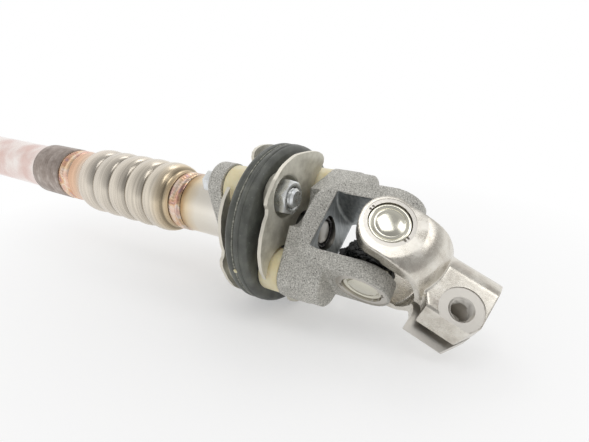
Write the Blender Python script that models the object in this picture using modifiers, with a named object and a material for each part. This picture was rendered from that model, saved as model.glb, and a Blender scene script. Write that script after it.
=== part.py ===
"""Steering shaft: splined stub, tube, crash bellows, rubber coupling and universal joint.

Units are metres. The shaft lies along +X with +Z up, and the origin is the centre of the
column end's face. The coupling and the joint are modelled unrolled, the shaft's studs on +Z
and -Z, and are rolled about the shaft axis and bent at the joint by the empties that carry them.
"""

import math

import bmesh
import bpy
from mathutils import Matrix, Vector

MM = 0.001
GAP = 0.3 * MM            # clearance between pieces that seat on each other
BEARING_GAP = 0.2 * MM    # clearance of a needle on its race
OVER = 1.0 * MM           # how far a cutter passes the face it cuts

# Facets of round pieces
ROUND = 24
MEDIUM = 18
SMALL = 12
RIM_FACETS = 32

# Shaft line, lengths from the column end to the coupling
STUB_LENGTH = 34.0 * MM
STUB_TIP_R = 10.0 * MM
STUB_TEETH = 22
TOOTH_DEPTH = 0.7 * MM
STUB_CHAMFER = 1.2 * MM
STUB_GROOVE_R = 8.4 * MM
STUB_GROOVE_WIDTH = 7.0 * MM
STUB_GROOVE_X = 17.0 * MM
STUB_ENVELOPE = 0.1 * MM      # the envelope's margin over the teeth
STUB_ROOT_LENGTH = 4.0 * MM   # run-out of the teeth into the shoulder
SHOULDER_LENGTH = 6.0 * MM
SPIGOT_LENGTH = 16.0 * MM
UPPER_TUBE_R = 12.5 * MM
UPPER_TUBE_WALL = 2.5 * MM
UPPER_TUBE_LENGTH = 115.7 * MM
COLLAR_R = 14.3 * MM
COLLAR_LENGTH = 25.0 * MM
COLLAR_CHAMFER = 0.7 * MM
WELD_R = 14.1 * MM
WELD_WAIST = 0.55 * MM
UPPER_WELD_LENGTH = 8.7 * MM
LOWER_WELD_LENGTH = 7.4 * MM
BELLOWS_CUFF_R = 13.9 * MM
BELLOWS_WALL = 1.4 * MM
BELLOWS_VALLEY_R = 14.9 * MM
BELLOWS_CREST = 2.35 * MM     # height of a crest over the valley
BELLOWS_PITCH = 12.5 * MM
BELLOWS_CRESTS = 5
CUFF_FILLET = 1.2 * MM
UPPER_CUFF_LENGTH = 11.6 * MM
LOWER_CUFF_LENGTH = 3.6 * MM
LOWER_TUBE_R = 13.6 * MM
LOWER_TUBE_WALL = 2.6 * MM
LOWER_TUBE_LENGTH = 33.6 * MM

# Rubber coupling
ROLL = 36.65              # degrees from +Z to the shaft's upper stud, about +X
BOLT_CIRCLE_R = 21.5 * MM
RUBBER_R = 34.3 * MM
RUBBER_HALF = 5.2 * MM
RUBBER_EDGE = 2.2 * MM        # rounding of the rim towards each face
RUBBER_BAND = 1.6 * MM        # from the middle to where a band has its full radius
RUBBER_GROOVE = 0.9 * MM
RUBBER_GROOVE_HALF = 0.3 * MM
RUBBER_BORE_R = 9.0 * MM
BUSH_R = 9.0 * MM
BUSH_LENGTH = 9.2 * MM
BUSH_CHAMFER = 0.6 * MM
SLEEVE_R = 6.0 * MM
EAR_R = 9.6 * MM
SHAFT_FLANGE_HUB_R = 17.0 * MM
SHAFT_FLANGE_THICK = 7.2 * MM
STUD_R = 4.0 * MM
STUD_HEX_AF = 8.6 * MM
STUD_HEX_LENGTH = 7.5 * MM
STUD_HEX_EDGE = 0.4 * MM
STUD_PROUD = 1.6 * MM
STUD_CHAMFER = 0.8 * MM
STUD_ROOT_R = 4.8 * MM
STUD_ROOT_START = 4.0 * MM    # from the yoke's face to the thicker root
YOKE_STUD_REACH = 14.5 * MM   # from the yoke's face to the root's blind end
NUT_AF = 13.0 * MM
NUT_HEIGHT = 6.6 * MM
NUT_CHAMFER = 1.1 * MM
PIN_R = 5.2 * MM
PIN_CHAMFER = 0.6 * MM
PIN_PLUG_LENGTH = 14.0 * MM
PIN_SETBACK = 1.2 * MM        # from the yoke's throat back to the pin's end
CENTRE_BUSH_R = 7.0 * MM
CENTRE_BUSH_SETBACK = 0.5 * MM

# Stamped catch plates, one on each face of the rubber
PLATE_THICK = 1.6 * MM
PLATE_LIFT = 3.8 * MM         # how far the plate stands off its seats
PLATE_BORE_R = 7.6 * MM
PLATE_CUP_R = 9.7 * MM        # outside of the cup pressed down round each nut
PLATE_POCKET_R = 8.4 * MM     # room in the cup for the nut
PLATE_NOTCH_R = 10.5 * MM     # room round the other flange's bushes
PLATE_EDGE = (                # degrees from the stud, outline radius: narrow wing, step, wide lobe
    (-82.0, 26.0), (-79.5, 30.8), (-68.0, 31.2), (-57.0, 31.0), (-46.0, 30.3), (-34.0, 29.6),
    (-23.0, 28.9), (-20.0, 32.2), (-10.0, 32.4), (0.0, 32.8), (10.0, 33.2), (22.0, 33.0),
    (36.0, 32.8), (50.0, 32.6), (60.0, 31.8), (64.0, 30.0), (65.5, 27.0), (65.5, 24.0))

# Flange yoke
JOINT_X = 46.3 * MM           # joint centre from the middle of the rubber
YOKE_HUB_R = 19.0 * MM
YOKE_BASE_THICK = 12.3 * MM
YOKE_EAR_LENGTH = 18.4 * MM
YOKE_EAR_R = 9.2 * MM
YOKE_ARM_WIDTH = 22.6 * MM
ARM_INSIDE = 13.4 * MM        # inner face of every yoke arm from the joint centre
FLANGE_ARM_OUTSIDE = 20.6 * MM
CLAMP_ARM_OUTSIDE = 20.2 * MM
THROAT_R = 24.6 * MM
POCKET_R = 10.6 * MM          # room for the other flange's nuts
POCKET_DEPTH = 4.6 * MM
ARM_ROOT = 6.0 * MM           # how deep an arm or ear starts inside the base
FORGED_EDGE = 1.0 * MM

# Cross and bearings
CUP_R = 8.0 * MM
CUP_WALL = 0.7 * MM
CUP_FACE = 19.6 * MM          # outer face of a cup from the joint centre
CUP_BASE = 1.7 * MM
CUP_MOUTH = 11.0 * MM
CUP_DOME = 0.5 * MM
CUP_EDGE = 0.8 * MM
CUP_RING = 2.1 * MM           # from the wall to the deepest line of the ring round the dome
CUP_RING_DEPTH = 0.35 * MM
TRUNNION_R = 5.0 * MM
TRUNNION_CHAMFER = 0.6 * MM
CROSS_BODY_R = 7.0 * MM
CROSS_BODY_HALF = 8.6 * MM
SEAL_R = 8.3 * MM
SEAL_LIP_R = 9.7 * MM
SEAL_EDGE = 0.5 * MM
NEEDLES = 12
NEEDLE_SINK = 0.12 * MM       # how far a needle is joined into its cup's wall
NEEDLE_SETBACK = 0.7 * MM
NEEDLE_FACETS = 6

# Clamp yoke, in the joint's own frame: x along the pinion, -y towards the slot, z along its cups
JOINT_BEND = 21.9             # degrees, the cross about the flange yoke's cups
JOINT_TURN = -9.8             # degrees, the clamp yoke about its own cups
FORK_ENVELOPE = (              # z along the clamp's cups, radius about them: a ball with rounded shoulders
    (21.2, 12.0), (20.2, 13.8), (19.6, 16.6), (18.3, 19.4), (16.0, 22.0), (12.0, 24.4),
    (8.0, 26.0), (4.0, 26.9), (0.0, 27.2))
FORK_END_X = 27.2 * MM
EYE_R = 11.0 * MM
FORK_BACK_Y = 10.4 * MM
FORK_FRONT_Y = -12.8 * MM
CLAMP_START_X = 20.0 * MM
CLAMP_END_X = 45.0 * MM
BARREL_R = 11.0 * MM
CHEEK_Z = 10.8 * MM
JAW_TAPER = 4.6 * MM          # how far a jaw's tip passes the end of its flat cheek
JAW_CHAMFER_Y = 1.3 * MM
JAW_CHAMFER_Z = 0.9 * MM
NEAR_JAW_Y = -19.4 * MM
NEAR_JAW_X = 25.4 * MM
FAR_JAW_Y = -23.4 * MM
FAR_JAW_X = 23.4 * MM
JAW_ROOT_Y = -11.2 * MM       # where a jaw's slanted shoulder leaves the fork
JAW_ROOT_SETBACK = 2.5 * MM
JAW_SHOULDER_Y = -15.0 * MM
JAW_CORNER_Y = -11.4 * MM     # where the end face gives way to the cut corner
JAW_CORNER_SLOPE = 0.58       # shortening of the jaws for each millimetre past it
PINION_R = 8.0 * MM
SLOT_WIDTH = 3.6 * MM
BORE_OVERLAP = 8.6 * MM       # how far the bore's cutter starts inside the throat
PINCH_X = 36.3 * MM
PINCH_Y = -9.3 * MM
PINCH_R = 4.05 * MM
SPOT_R = 8.2 * MM
SPOT_DEPTH = 0.5 * MM

# Stations on the shaft axis, from the lengths above
SHOULDER_X = STUB_LENGTH
TUBE_X = SHOULDER_X + SHOULDER_LENGTH + GAP
TUBE_END = TUBE_X + UPPER_TUBE_LENGTH
UPPER_WELD_X = TUBE_END + GAP
BELLOWS_X = UPPER_WELD_X + UPPER_WELD_LENGTH + GAP
CREST_X = BELLOWS_X + UPPER_CUFF_LENGTH
CREST_END = CREST_X + BELLOWS_PITCH * BELLOWS_CRESTS
BELLOWS_END = CREST_END + LOWER_CUFF_LENGTH
LOWER_WELD_X = BELLOWS_END + GAP
LOWER_TUBE_X = LOWER_WELD_X + LOWER_WELD_LENGTH + GAP
LOWER_TUBE_END = LOWER_TUBE_X + LOWER_TUBE_LENGTH

# Stations on the coupling, from the middle of the rubber towards the joint
BUSH_START = RUBBER_HALF + GAP
BUSH_END = BUSH_START + BUSH_LENGTH
FLANGE_FACE = BUSH_END + GAP
SHAFT_FLANGE_END = FLANGE_FACE + SHAFT_FLANGE_THICK
PLATE_SEAT = RUBBER_HALF + GAP
NUT_SEAT = PLATE_SEAT + PLATE_THICK + GAP
STUD_END = NUT_SEAT + NUT_HEIGHT + STUD_PROUD
YOKE_BASE_END = FLANGE_FACE + YOKE_BASE_THICK
YOKE_EAR_END = FLANGE_FACE + YOKE_EAR_LENGTH
THROAT_X = JOINT_X - THROAT_R
PIN_END = THROAT_X - PIN_SETBACK
COUPLING_X = LOWER_TUBE_END + FLANGE_FACE + GAP

ALONG = {
    "X": Matrix(((0, 0, 1), (1, 0, 0), (0, 1, 0))).to_4x4(),
    "Y": Matrix(((0, 1, 0), (0, 0, 1), (1, 0, 0))).to_4x4(),
    "Z": Matrix.Identity(4),
}


def clear_scene():
    for obj in list(bpy.data.objects):
        bpy.data.objects.remove(obj, do_unlink=True)


def collection(name):
    found = bpy.data.collections.new(name)
    bpy.context.scene.collection.children.link(found)
    return found


clear_scene()
PARTS = collection("steering_shaft")
CUTTERS = collection("steering_shaft_cutters")


def material(name, color, roughness, metallic):
    made = bpy.data.materials.new(name)
    made.use_nodes = True
    made.diffuse_color = (*color, 1.0)
    shader = made.node_tree.nodes["Principled BSDF"]
    shader.inputs["Base Color"].default_value = (*color, 1.0)
    shader.inputs["Roughness"].default_value = roughness
    shader.inputs["Metallic"].default_value = metallic
    return made


STEEL_TUBE = material("drawn_steel_tube", (0.62, 0.58, 0.55), 0.25, 1.0)
TURNED_STEEL = material("turned_steel", (0.55, 0.54, 0.53), 0.35, 1.0)
DARK_STEEL = material("scaled_steel", (0.27, 0.24, 0.22), 0.55, 0.9)
WELD_STEEL = material("heat_tinted_weld", (0.60, 0.42, 0.30), 0.30, 1.0)
BELLOWS_STEEL = material("formed_bellows_steel", (0.56, 0.52, 0.47), 0.28, 1.0)
CAST_STEEL = material("blasted_forging", (0.30, 0.29, 0.28), 0.75, 0.7)
PLATE_STEEL = material("zinc_plated_sheet", (0.44, 0.42, 0.38), 0.45, 0.9)
ZINC = material("zinc_plated_fastener", (0.50, 0.49, 0.47), 0.30, 1.0)
RUBBER = material("coupling_rubber", (0.05, 0.06, 0.06), 0.70, 0.0)
SEAL_RUBBER = material("greased_seal_rubber", (0.02, 0.02, 0.02), 0.30, 0.0)
NYLON = material("natural_nylon", (0.76, 0.66, 0.42), 0.45, 0.0)
BRIGHT_FORGING = material("bright_forging", (0.50, 0.47, 0.45), 0.35, 1.0)
CUP_STEEL = material("drawn_cup_steel", (0.66, 0.63, 0.58), 0.20, 1.0)
HARD_STEEL = material("ground_bearing_steel", (0.60, 0.60, 0.60), 0.20, 1.0)


def empty(name, parent, location, rotation=(0.0, 0.0, 0.0)):
    holder = bpy.data.objects.new(name, None)
    holder.empty_display_size = 0.02
    holder.rotation_euler = [math.radians(angle) for angle in rotation]
    holder.location = location
    holder.parent = parent
    PARTS.objects.link(holder)
    return holder


def link(name, mesh, finish, parent):
    """A part when it has a finish, otherwise a cutter."""
    obj = bpy.data.objects.new(name, mesh)
    obj.parent = parent
    if finish is None:
        obj.hide_render = True
        obj.display_type = "WIRE"
        CUTTERS.objects.link(obj)
    else:
        mesh.materials.append(finish)
        PARTS.objects.link(obj)
    return obj


def turned(name, profile, finish=None, parent=None, axis="X", place=(0, 0, 0), steps=ROUND, closed=False):
    """Turn (station, radius) points about an axis; the outer side is listed with rising stations."""
    mesh = bpy.data.meshes.new(name)
    points = [(radius, 0.0, station) for station, radius in reversed(profile)]
    count = len(points)
    edges = [(i, i + 1) for i in range(count - 1)]
    if closed:
        edges.append((count - 1, 0))
    mesh.from_pydata(points, edges, [])
    obj = link(name, mesh, finish, parent)
    obj.matrix_basis = Matrix.Translation(place) @ ALONG[axis]
    screw = obj.modifiers.new("turn", "SCREW")
    screw.axis = "Z"
    screw.steps = steps
    screw.render_steps = steps
    screw.use_merge_vertices = True
    screw.merge_threshold = 0.00001
    screw.use_smooth_shade = True
    return obj


def rod(name, radius, low, high, finish=None, parent=None, axis="X", place=(0, 0, 0), steps=ROUND):
    """A plain round bar or, without a finish, a drill."""
    profile = [(low, 0.0), (low, radius), (high, radius), (high, 0.0)]
    return turned(name, profile, finish, parent, axis, place, steps)


def slab(name, outline, low, high, axis, finish=None, parent=None, edge=0.0):
    """A filled flat outline, given in the two axes that follow the extrusion axis, made a mesh."""
    curve = bpy.data.curves.new(name, "CURVE")
    curve.dimensions = "2D"
    curve.fill_mode = "BOTH"
    curve.extrude = (high - low) / 2.0
    spline = curve.splines.new("POLY")
    spline.points.add(len(outline) - 1)
    for point, (u, v) in zip(spline.points, outline):
        point.co = (u, v, 0.0, 1.0)
    spline.use_cyclic_u = True
    guide = bpy.data.objects.new(name + "_outline", curve)
    CUTTERS.objects.link(guide)
    bpy.context.view_layer.update()
    shape = guide.evaluated_get(bpy.context.evaluated_depsgraph_get())
    mesh = bpy.data.meshes.new_from_object(shape)
    bpy.data.objects.remove(guide)
    bm = bmesh.new()
    bm.from_mesh(mesh)
    bmesh.ops.remove_doubles(bm, verts=bm.verts, dist=0.000005)
    bmesh.ops.dissolve_limit(bm, angle_limit=math.radians(1.0), verts=bm.verts, edges=bm.edges)
    bmesh.ops.recalc_face_normals(bm, faces=bm.faces)
    shift = Matrix.Translation((0, 0, (low + high) / 2.0))
    bm.transform(ALONG[axis] @ shift)
    bm.to_mesh(mesh)
    bm.free()
    mesh.name = name
    obj = link(name, mesh, finish, parent)
    if edge:
        round_edges(obj, edge)
    return obj


def block(name, low, high, finish=None, parent=None):
    mesh = bpy.data.meshes.new(name)
    low, high = Vector(low), Vector(high)
    bm = bmesh.new()
    bmesh.ops.create_cube(bm, size=1.0)
    bmesh.ops.scale(bm, vec=high - low, verts=bm.verts)
    bmesh.ops.translate(bm, vec=(low + high) / 2.0, verts=bm.verts)
    bm.to_mesh(mesh)
    bm.free()
    return link(name, mesh, finish, parent)


def round_edges(obj, width, segments=1, angle=40.0):
    bevel = obj.modifiers.new("edge", "BEVEL")
    bevel.width = width
    bevel.segments = segments
    bevel.limit_method = "ANGLE"
    bevel.angle_limit = math.radians(angle)


def combine(obj, other, operation="DIFFERENCE"):
    boolean = obj.modifiers.new(other.name, "BOOLEAN")
    boolean.operation = operation
    boolean.solver = "EXACT"
    boolean.object = other
    return obj


def copies(names, source, places, finish, parent):
    """The source's finished shape, shared by an object of its own at each place."""
    bpy.context.view_layer.update()
    shape = source.evaluated_get(bpy.context.evaluated_depsgraph_get())
    mesh = bpy.data.meshes.new_from_object(shape)
    mesh.materials.clear()
    own = source.matrix_basis.copy()
    bpy.data.objects.remove(source)
    mesh.materials.append(finish)
    for name, place in zip(names, places):
        obj = bpy.data.objects.new(name, mesh)
        obj.parent = parent
        obj.matrix_basis = place @ own
        PARTS.objects.link(obj)


def arc(centre, radius, start, end, steps):
    """Points on an arc, angles in degrees."""
    u, v = centre
    turn = [math.radians(start + (end - start) * i / steps) for i in range(steps + 1)]
    return [(u + radius * math.cos(a), v + radius * math.sin(a)) for a in turn]


def eared_outline(hub_r, ear_r, reach, steps=6):
    """A hub with two opposite round ears along the first axis, joined by tangent sides."""
    lean = math.degrees(math.acos((hub_r - ear_r) / reach))
    outline = arc((reach, 0.0), ear_r, -lean, lean, steps * 2)
    outline += arc((0.0, 0.0), hub_r, lean, 180.0 - lean, steps)
    outline += arc((-reach, 0.0), ear_r, 180.0 - lean, 180.0 + lean, steps * 2)
    outline += arc((0.0, 0.0), hub_r, 180.0 + lean, 360.0 - lean, steps)
    return outline


def swap(outline):
    return [(v, u) for u, v in reversed(outline)]


def hexagon(across_flats):
    return arc((0.0, 0.0), across_flats / math.sqrt(3.0), 0.0, 300.0, 5)


def mirrored(half):
    """A turned profile from its half with rising stations: the other half first, turned over."""
    return [(-station, radius) for station, radius in reversed(half)] + half


# The shaft line

def column_stub():
    tooth = 360.0 / STUB_TEETH
    outline = []
    for i in range(STUB_TEETH):
        for share, radius in ((0.0, STUB_TIP_R), (0.5, STUB_TIP_R - TOOTH_DEPTH)):
            angle = math.radians((i + share) * tooth)
            outline.append((radius * math.cos(angle), radius * math.sin(angle)))
    stub = slab("column_stub", outline, 0.0, SHOULDER_X, "X", TURNED_STEEL)
    half = STUB_GROOVE_WIDTH / 2.0
    full = STUB_TIP_R + STUB_ENVELOPE
    envelope = turned("stub_envelope", [
        (-OVER, 0.0), (-OVER, STUB_TIP_R - STUB_CHAMFER - OVER), (STUB_CHAMFER, full),
        (STUB_GROOVE_X - half, full), (STUB_GROOVE_X - half * 0.5, STUB_GROOVE_R),
        (STUB_GROOVE_X + half * 0.5, STUB_GROOVE_R), (STUB_GROOVE_X + half, full),
        (SHOULDER_X + OVER, full), (SHOULDER_X + OVER, 0.0)], steps=MEDIUM)
    combine(stub, envelope, "INTERSECT")
    spigot_r = UPPER_TUBE_R - UPPER_TUBE_WALL - GAP
    root_x = SHOULDER_X - STUB_ROOT_LENGTH
    shoulder_end = SHOULDER_X + SHOULDER_LENGTH
    root = turned("stub_root", [
        (root_x, 0.0), (root_x, STUB_TIP_R - TOOTH_DEPTH - GAP), (SHOULDER_X, UPPER_TUBE_R - TOOTH_DEPTH),
        (SHOULDER_X + OVER, UPPER_TUBE_R), (shoulder_end, UPPER_TUBE_R), (shoulder_end, spigot_r),
        (shoulder_end + SPIGOT_LENGTH, spigot_r), (shoulder_end + SPIGOT_LENGTH, 0.0)], steps=MEDIUM)
    combine(stub, root, "UNION")


def upper_tube():
    inner = UPPER_TUBE_R - UPPER_TUBE_WALL
    turned("upper_tube", [
        (TUBE_X, UPPER_TUBE_R), (TUBE_END, UPPER_TUBE_R), (TUBE_END, inner), (TUBE_X, inner)],
        STEEL_TUBE, closed=True)


def collar_sleeve():
    start = TUBE_END - COLLAR_LENGTH
    inner = UPPER_TUBE_R + GAP
    turned("collar_sleeve", [
        (start, COLLAR_R - COLLAR_CHAMFER), (start + COLLAR_CHAMFER, COLLAR_R), (TUBE_END, COLLAR_R),
        (TUBE_END, inner), (start, inner)], DARK_STEEL, closed=True)


def weld_bead(name, start, length, inner):
    """A rolled ring seam: two shallow beads with a pinched waist."""
    waist = WELD_R - WELD_WAIST
    shares = [(0.0, waist), (0.12, WELD_R), (0.42, WELD_R), (0.52, waist)]
    shares += [(0.64, WELD_R), (0.9, WELD_R), (1.0, waist)]
    outer = [(start + share * length, radius) for share, radius in shares]
    turned(name, outer + [(start + length, inner), (start, inner)], WELD_STEEL, closed=True)


def bellows_tube():
    """Wide round crests that meet in narrow valleys, formed from one thin tube."""
    inner_r = BELLOWS_CUFF_R - BELLOWS_WALL
    outer = [(BELLOWS_X, BELLOWS_CUFF_R), (CREST_X - CUFF_FILLET, BELLOWS_CUFF_R)]
    inner = [(BELLOWS_X, inner_r), (CREST_X, inner_r)]
    for crest in range(BELLOWS_CRESTS):
        middle = CREST_X + (crest + 0.5) * BELLOWS_PITCH
        for turn in range(0 if crest == 0 else 36, 181, 36):
            angle = math.radians(turn)
            station = middle - 0.5 * BELLOWS_PITCH * math.cos(angle)
            outer.append((station, BELLOWS_VALLEY_R + BELLOWS_CREST * math.sin(angle)))
        inner.append((middle, BELLOWS_VALLEY_R - BELLOWS_WALL + BELLOWS_CREST))
        if crest < BELLOWS_CRESTS - 1:
            inner.append((middle + 0.5 * BELLOWS_PITCH, BELLOWS_VALLEY_R - BELLOWS_WALL))
    outer += [(CREST_END + CUFF_FILLET, BELLOWS_CUFF_R), (BELLOWS_END, BELLOWS_CUFF_R)]
    inner += [(CREST_END, inner_r), (BELLOWS_END, inner_r)]
    turned("bellows_tube", outer + inner[::-1], BELLOWS_STEEL, closed=True)


def lower_tube():
    inner = LOWER_TUBE_R - LOWER_TUBE_WALL
    turned("lower_tube", [
        (LOWER_TUBE_X, LOWER_TUBE_R), (LOWER_TUBE_END, LOWER_TUBE_R), (LOWER_TUBE_END, inner),
        (LOWER_TUBE_X, inner)], STEEL_TUBE, closed=True)


# The coupling, in its own unrolled frame

def stud_holes(name, piece, radius, direction, low, high):
    for side, sign in (("a", 1), ("b", -1)):
        place = Vector(direction) * BOLT_CIRCLE_R * sign
        hole = rod(f"{name}_{side}", radius, low, high, parent=piece.parent, place=place, steps=SMALL)
        combine(piece, hole)


UP = Vector((0, 0, 1))
ACROSS = Vector((0, 1, 0))
SHAFT_SIDES = ("shaft_upper", "shaft_lower")
YOKE_SIDES = ("yoke_far", "yoke_near")


def pair(direction, turn_over=False):
    """The two places of a stud line; turned over for what faces the other way."""
    places = []
    for sign in (1, -1):
        shift = Matrix.Translation(Vector(direction) * BOLT_CIRCLE_R * sign)
        places.append(shift @ (Matrix.Rotation(math.pi, 4, "Z") if turn_over else Matrix.Identity(4)))
    return places


def shaft_flange(frame):
    outline = swap(eared_outline(SHAFT_FLANGE_HUB_R, EAR_R, BOLT_CIRCLE_R))
    flange = slab("shaft_flange", outline, -SHAFT_FLANGE_END, -FLANGE_FACE, "X", CAST_STEEL, frame,
                  FORGED_EDGE)
    low, high = -SHAFT_FLANGE_END - OVER, -FLANGE_FACE + OVER
    combine(flange, rod("shaft_flange_bore", LOWER_TUBE_R + GAP, low, high, parent=frame))
    stud_holes("shaft_flange_hole", flange, STUD_R + GAP, UP, low, high)


def centering_pin(frame):
    """A plug in the end of the tube with a pin that centres the yoke in the coupling."""
    plug_r = LOWER_TUBE_R - LOWER_TUBE_WALL - GAP
    plug_end = -FLANGE_FACE - GAP
    plug_start = plug_end - PIN_PLUG_LENGTH
    turned("centering_pin", [
        (plug_start, 0.0), (plug_start, plug_r), (plug_end, plug_r), (plug_end, PIN_R),
        (PIN_END - PIN_CHAMFER, PIN_R), (PIN_END, PIN_R - PIN_CHAMFER), (PIN_END, 0.0)],
        TURNED_STEEL, frame, steps=MEDIUM)


def centering_bush(frame):
    start = FLANGE_FACE + CENTRE_BUSH_SETBACK
    end = PIN_END - CENTRE_BUSH_SETBACK
    turned("centering_bush", [
        (start, CENTRE_BUSH_R), (end, CENTRE_BUSH_R), (end, PIN_R + GAP), (start, PIN_R + GAP)],
        SEAL_RUBBER, frame, steps=MEDIUM, closed=True)


def coupling_rubber(frame):
    """Two rounded bands with a shallow groove between them, bored for the sleeves."""
    outer = mirrored([
        (RUBBER_GROOVE_HALF, RUBBER_R - RUBBER_GROOVE), (RUBBER_BAND, RUBBER_R),
        (RUBBER_HALF - RUBBER_EDGE, RUBBER_R), (RUBBER_HALF, RUBBER_R - RUBBER_EDGE)])
    inner = [(RUBBER_HALF, RUBBER_BORE_R), (-RUBBER_HALF, RUBBER_BORE_R)]
    rubber = turned("coupling_rubber", outer + inner, RUBBER, frame, steps=RIM_FACETS, closed=True)
    low, high = -RUBBER_HALF - OVER, RUBBER_HALF + OVER
    stud_holes("rubber_hole_up", rubber, SLEEVE_R + GAP, UP, low, high)
    stud_holes("rubber_hole_across", rubber, SLEEVE_R + GAP, ACROSS, low, high)


def sleeves_and_bushes(frame, yoke, shaft_side):
    """A steel sleeve through rubber and bush at each stud, and the bush round it."""
    inner = STUD_R + GAP
    sleeve = [(-BUSH_END, SLEEVE_R), (RUBBER_HALF, SLEEVE_R), (RUBBER_HALF, inner), (-BUSH_END, inner)]
    bush = [(-BUSH_END, BUSH_R - BUSH_CHAMFER), (-BUSH_END + BUSH_CHAMFER, BUSH_R),
            (-BUSH_START - BUSH_CHAMFER, BUSH_R), (-BUSH_START, BUSH_R - BUSH_CHAMFER),
            (-BUSH_START, SLEEVE_R + GAP), (-BUSH_END, SLEEVE_R + GAP)]
    places = pair(UP if shaft_side else ACROSS, turn_over=not shaft_side)
    holder = frame if shaft_side else yoke
    sides = SHAFT_SIDES if shaft_side else YOKE_SIDES
    one = turned("one_sleeve", sleeve, TURNED_STEEL, steps=SMALL, closed=True)
    copies([f"{side}_sleeve" for side in sides], one, places, TURNED_STEEL, holder)
    one = turned("one_bush", bush, NYLON, steps=MEDIUM, closed=True)
    copies([f"{side}_bush" for side in sides], one, places, NYLON, holder)


def shaft_studs(frame):
    """Studs with a hexagonal drive end behind the flange's ear."""
    back = -SHAFT_FLANGE_END - GAP
    one = turned("one_stud", [
        (back - OVER, 0.0), (back - OVER, STUD_R), (STUD_END - STUD_CHAMFER, STUD_R),
        (STUD_END, STUD_R - STUD_CHAMFER), (STUD_END, 0.0)], ZINC, steps=SMALL)
    head = slab("stud_head", hexagon(STUD_HEX_AF), back - STUD_HEX_LENGTH, back, "X", edge=STUD_HEX_EDGE)
    combine(one, head, "UNION")
    copies([f"{side}_stud" for side in SHAFT_SIDES], one, pair(UP), ZINC, frame)


def yoke_studs(yoke):
    """Press-in studs whose thicker root sits in a blind hole in the yoke's ear."""
    root = FLANGE_FACE + STUD_ROOT_START
    end = FLANGE_FACE + YOKE_STUD_REACH
    one = turned("one_yoke_stud", [
        (-STUD_END, 0.0), (-STUD_END, STUD_R - STUD_CHAMFER), (-STUD_END + STUD_CHAMFER, STUD_R),
        (root, STUD_R), (root, STUD_ROOT_R), (end, STUD_ROOT_R), (end, 0.0)], ZINC, steps=SMALL)
    copies([f"{side}_stud" for side in YOKE_SIDES], one, pair(ACROSS), ZINC, yoke)


def stud_nuts(sides, holder, direction, turn_over):
    """Hexagon nuts with a turned chamfer on the free face."""
    top = NUT_SEAT + NUT_HEIGHT
    corner = NUT_AF / math.sqrt(3.0)
    one = slab("one_nut", hexagon(NUT_AF), NUT_SEAT, top, "X", ZINC)
    crown = turned("nut_crown", [
        (NUT_SEAT - OVER, 0.0), (NUT_SEAT - OVER, corner + OVER), (top - NUT_CHAMFER, corner + GAP),
        (top + GAP, corner - NUT_CHAMFER * 2.0), (top + GAP, 0.0)], steps=MEDIUM)
    combine(one, crown, "INTERSECT")
    combine(one, rod("nut_bore", STUD_R + GAP, NUT_SEAT - OVER, top + OVER, steps=SMALL))
    copies([f"{side}_nut" for side in sides], one, pair(direction, turn_over), ZINC, holder)


def plate_outline():
    """Wing and lobe round one stud, and the same again round the other."""
    outline = []
    for half in (0.0, 180.0):
        for side, radius in PLATE_EDGE:
            angle = math.radians(side + half)
            outline.append((radius * MM * math.sin(angle), radius * MM * math.cos(angle)))
    return outline


def catch_plate(name, holder, turn):
    """A pressed plate standing off the rubber, with a cup pressed down to a seat under each nut."""
    low = PLATE_SEAT + PLATE_LIFT
    high = low + PLATE_THICK
    lip = high - GAP
    floor = PLATE_SEAT + PLATE_THICK
    fillet = PLATE_CUP_R - PLATE_POCKET_R
    hole_r = STUD_R + GAP
    mouth_r = (PLATE_CUP_R + PLATE_POCKET_R) / 2.0
    plate = slab(name, plate_outline(), low, high, "X", PLATE_STEEL, holder)
    plate.matrix_basis = turn
    cuts, cups = [(Vector(), PLATE_BORE_R)], []
    for sign in (1, -1):
        cuts.append((ACROSS * BOLT_CIRCLE_R * sign, PLATE_NOTCH_R))
        cuts.append((UP * BOLT_CIRCLE_R * sign, mouth_r))
        cups.append(UP * BOLT_CIRCLE_R * sign)
    tools = []
    for i, (place, radius) in enumerate(cuts):
        cutter = rod(f"{name}_cut_{i}", radius, low - OVER, high + OVER, parent=holder, steps=MEDIUM)
        tools.append((cutter, place, "DIFFERENCE"))
    for i, place in enumerate(cups):
        cup = turned(f"{name}_cup_{i}", [
            (PLATE_SEAT, hole_r), (PLATE_SEAT, PLATE_CUP_R - fillet), (PLATE_SEAT + fillet, PLATE_CUP_R),
            (lip, PLATE_CUP_R), (lip, PLATE_POCKET_R), (floor, PLATE_POCKET_R - GAP), (floor, hole_r)],
            parent=holder, closed=True)
        tools.append((cup, place, "UNION"))
    for tool, place, operation in tools:
        tool.matrix_basis = turn @ Matrix.Translation(place) @ ALONG["X"]
        combine(plate, tool, operation)


# The universal joint

def ball_zone(name, radius, half, axis, parent, place=(0, 0, 0), rows=8):
    """The part of a ball between two planes square to the axis."""
    profile = [(-half, 0.0)]
    for i in range(rows + 1):
        station = -half + 2.0 * half * i / rows
        profile.append((station, math.sqrt(radius * radius - station * station)))
    profile.append((half, 0.0))
    return turned(name, profile, None, parent, axis, place)


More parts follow.
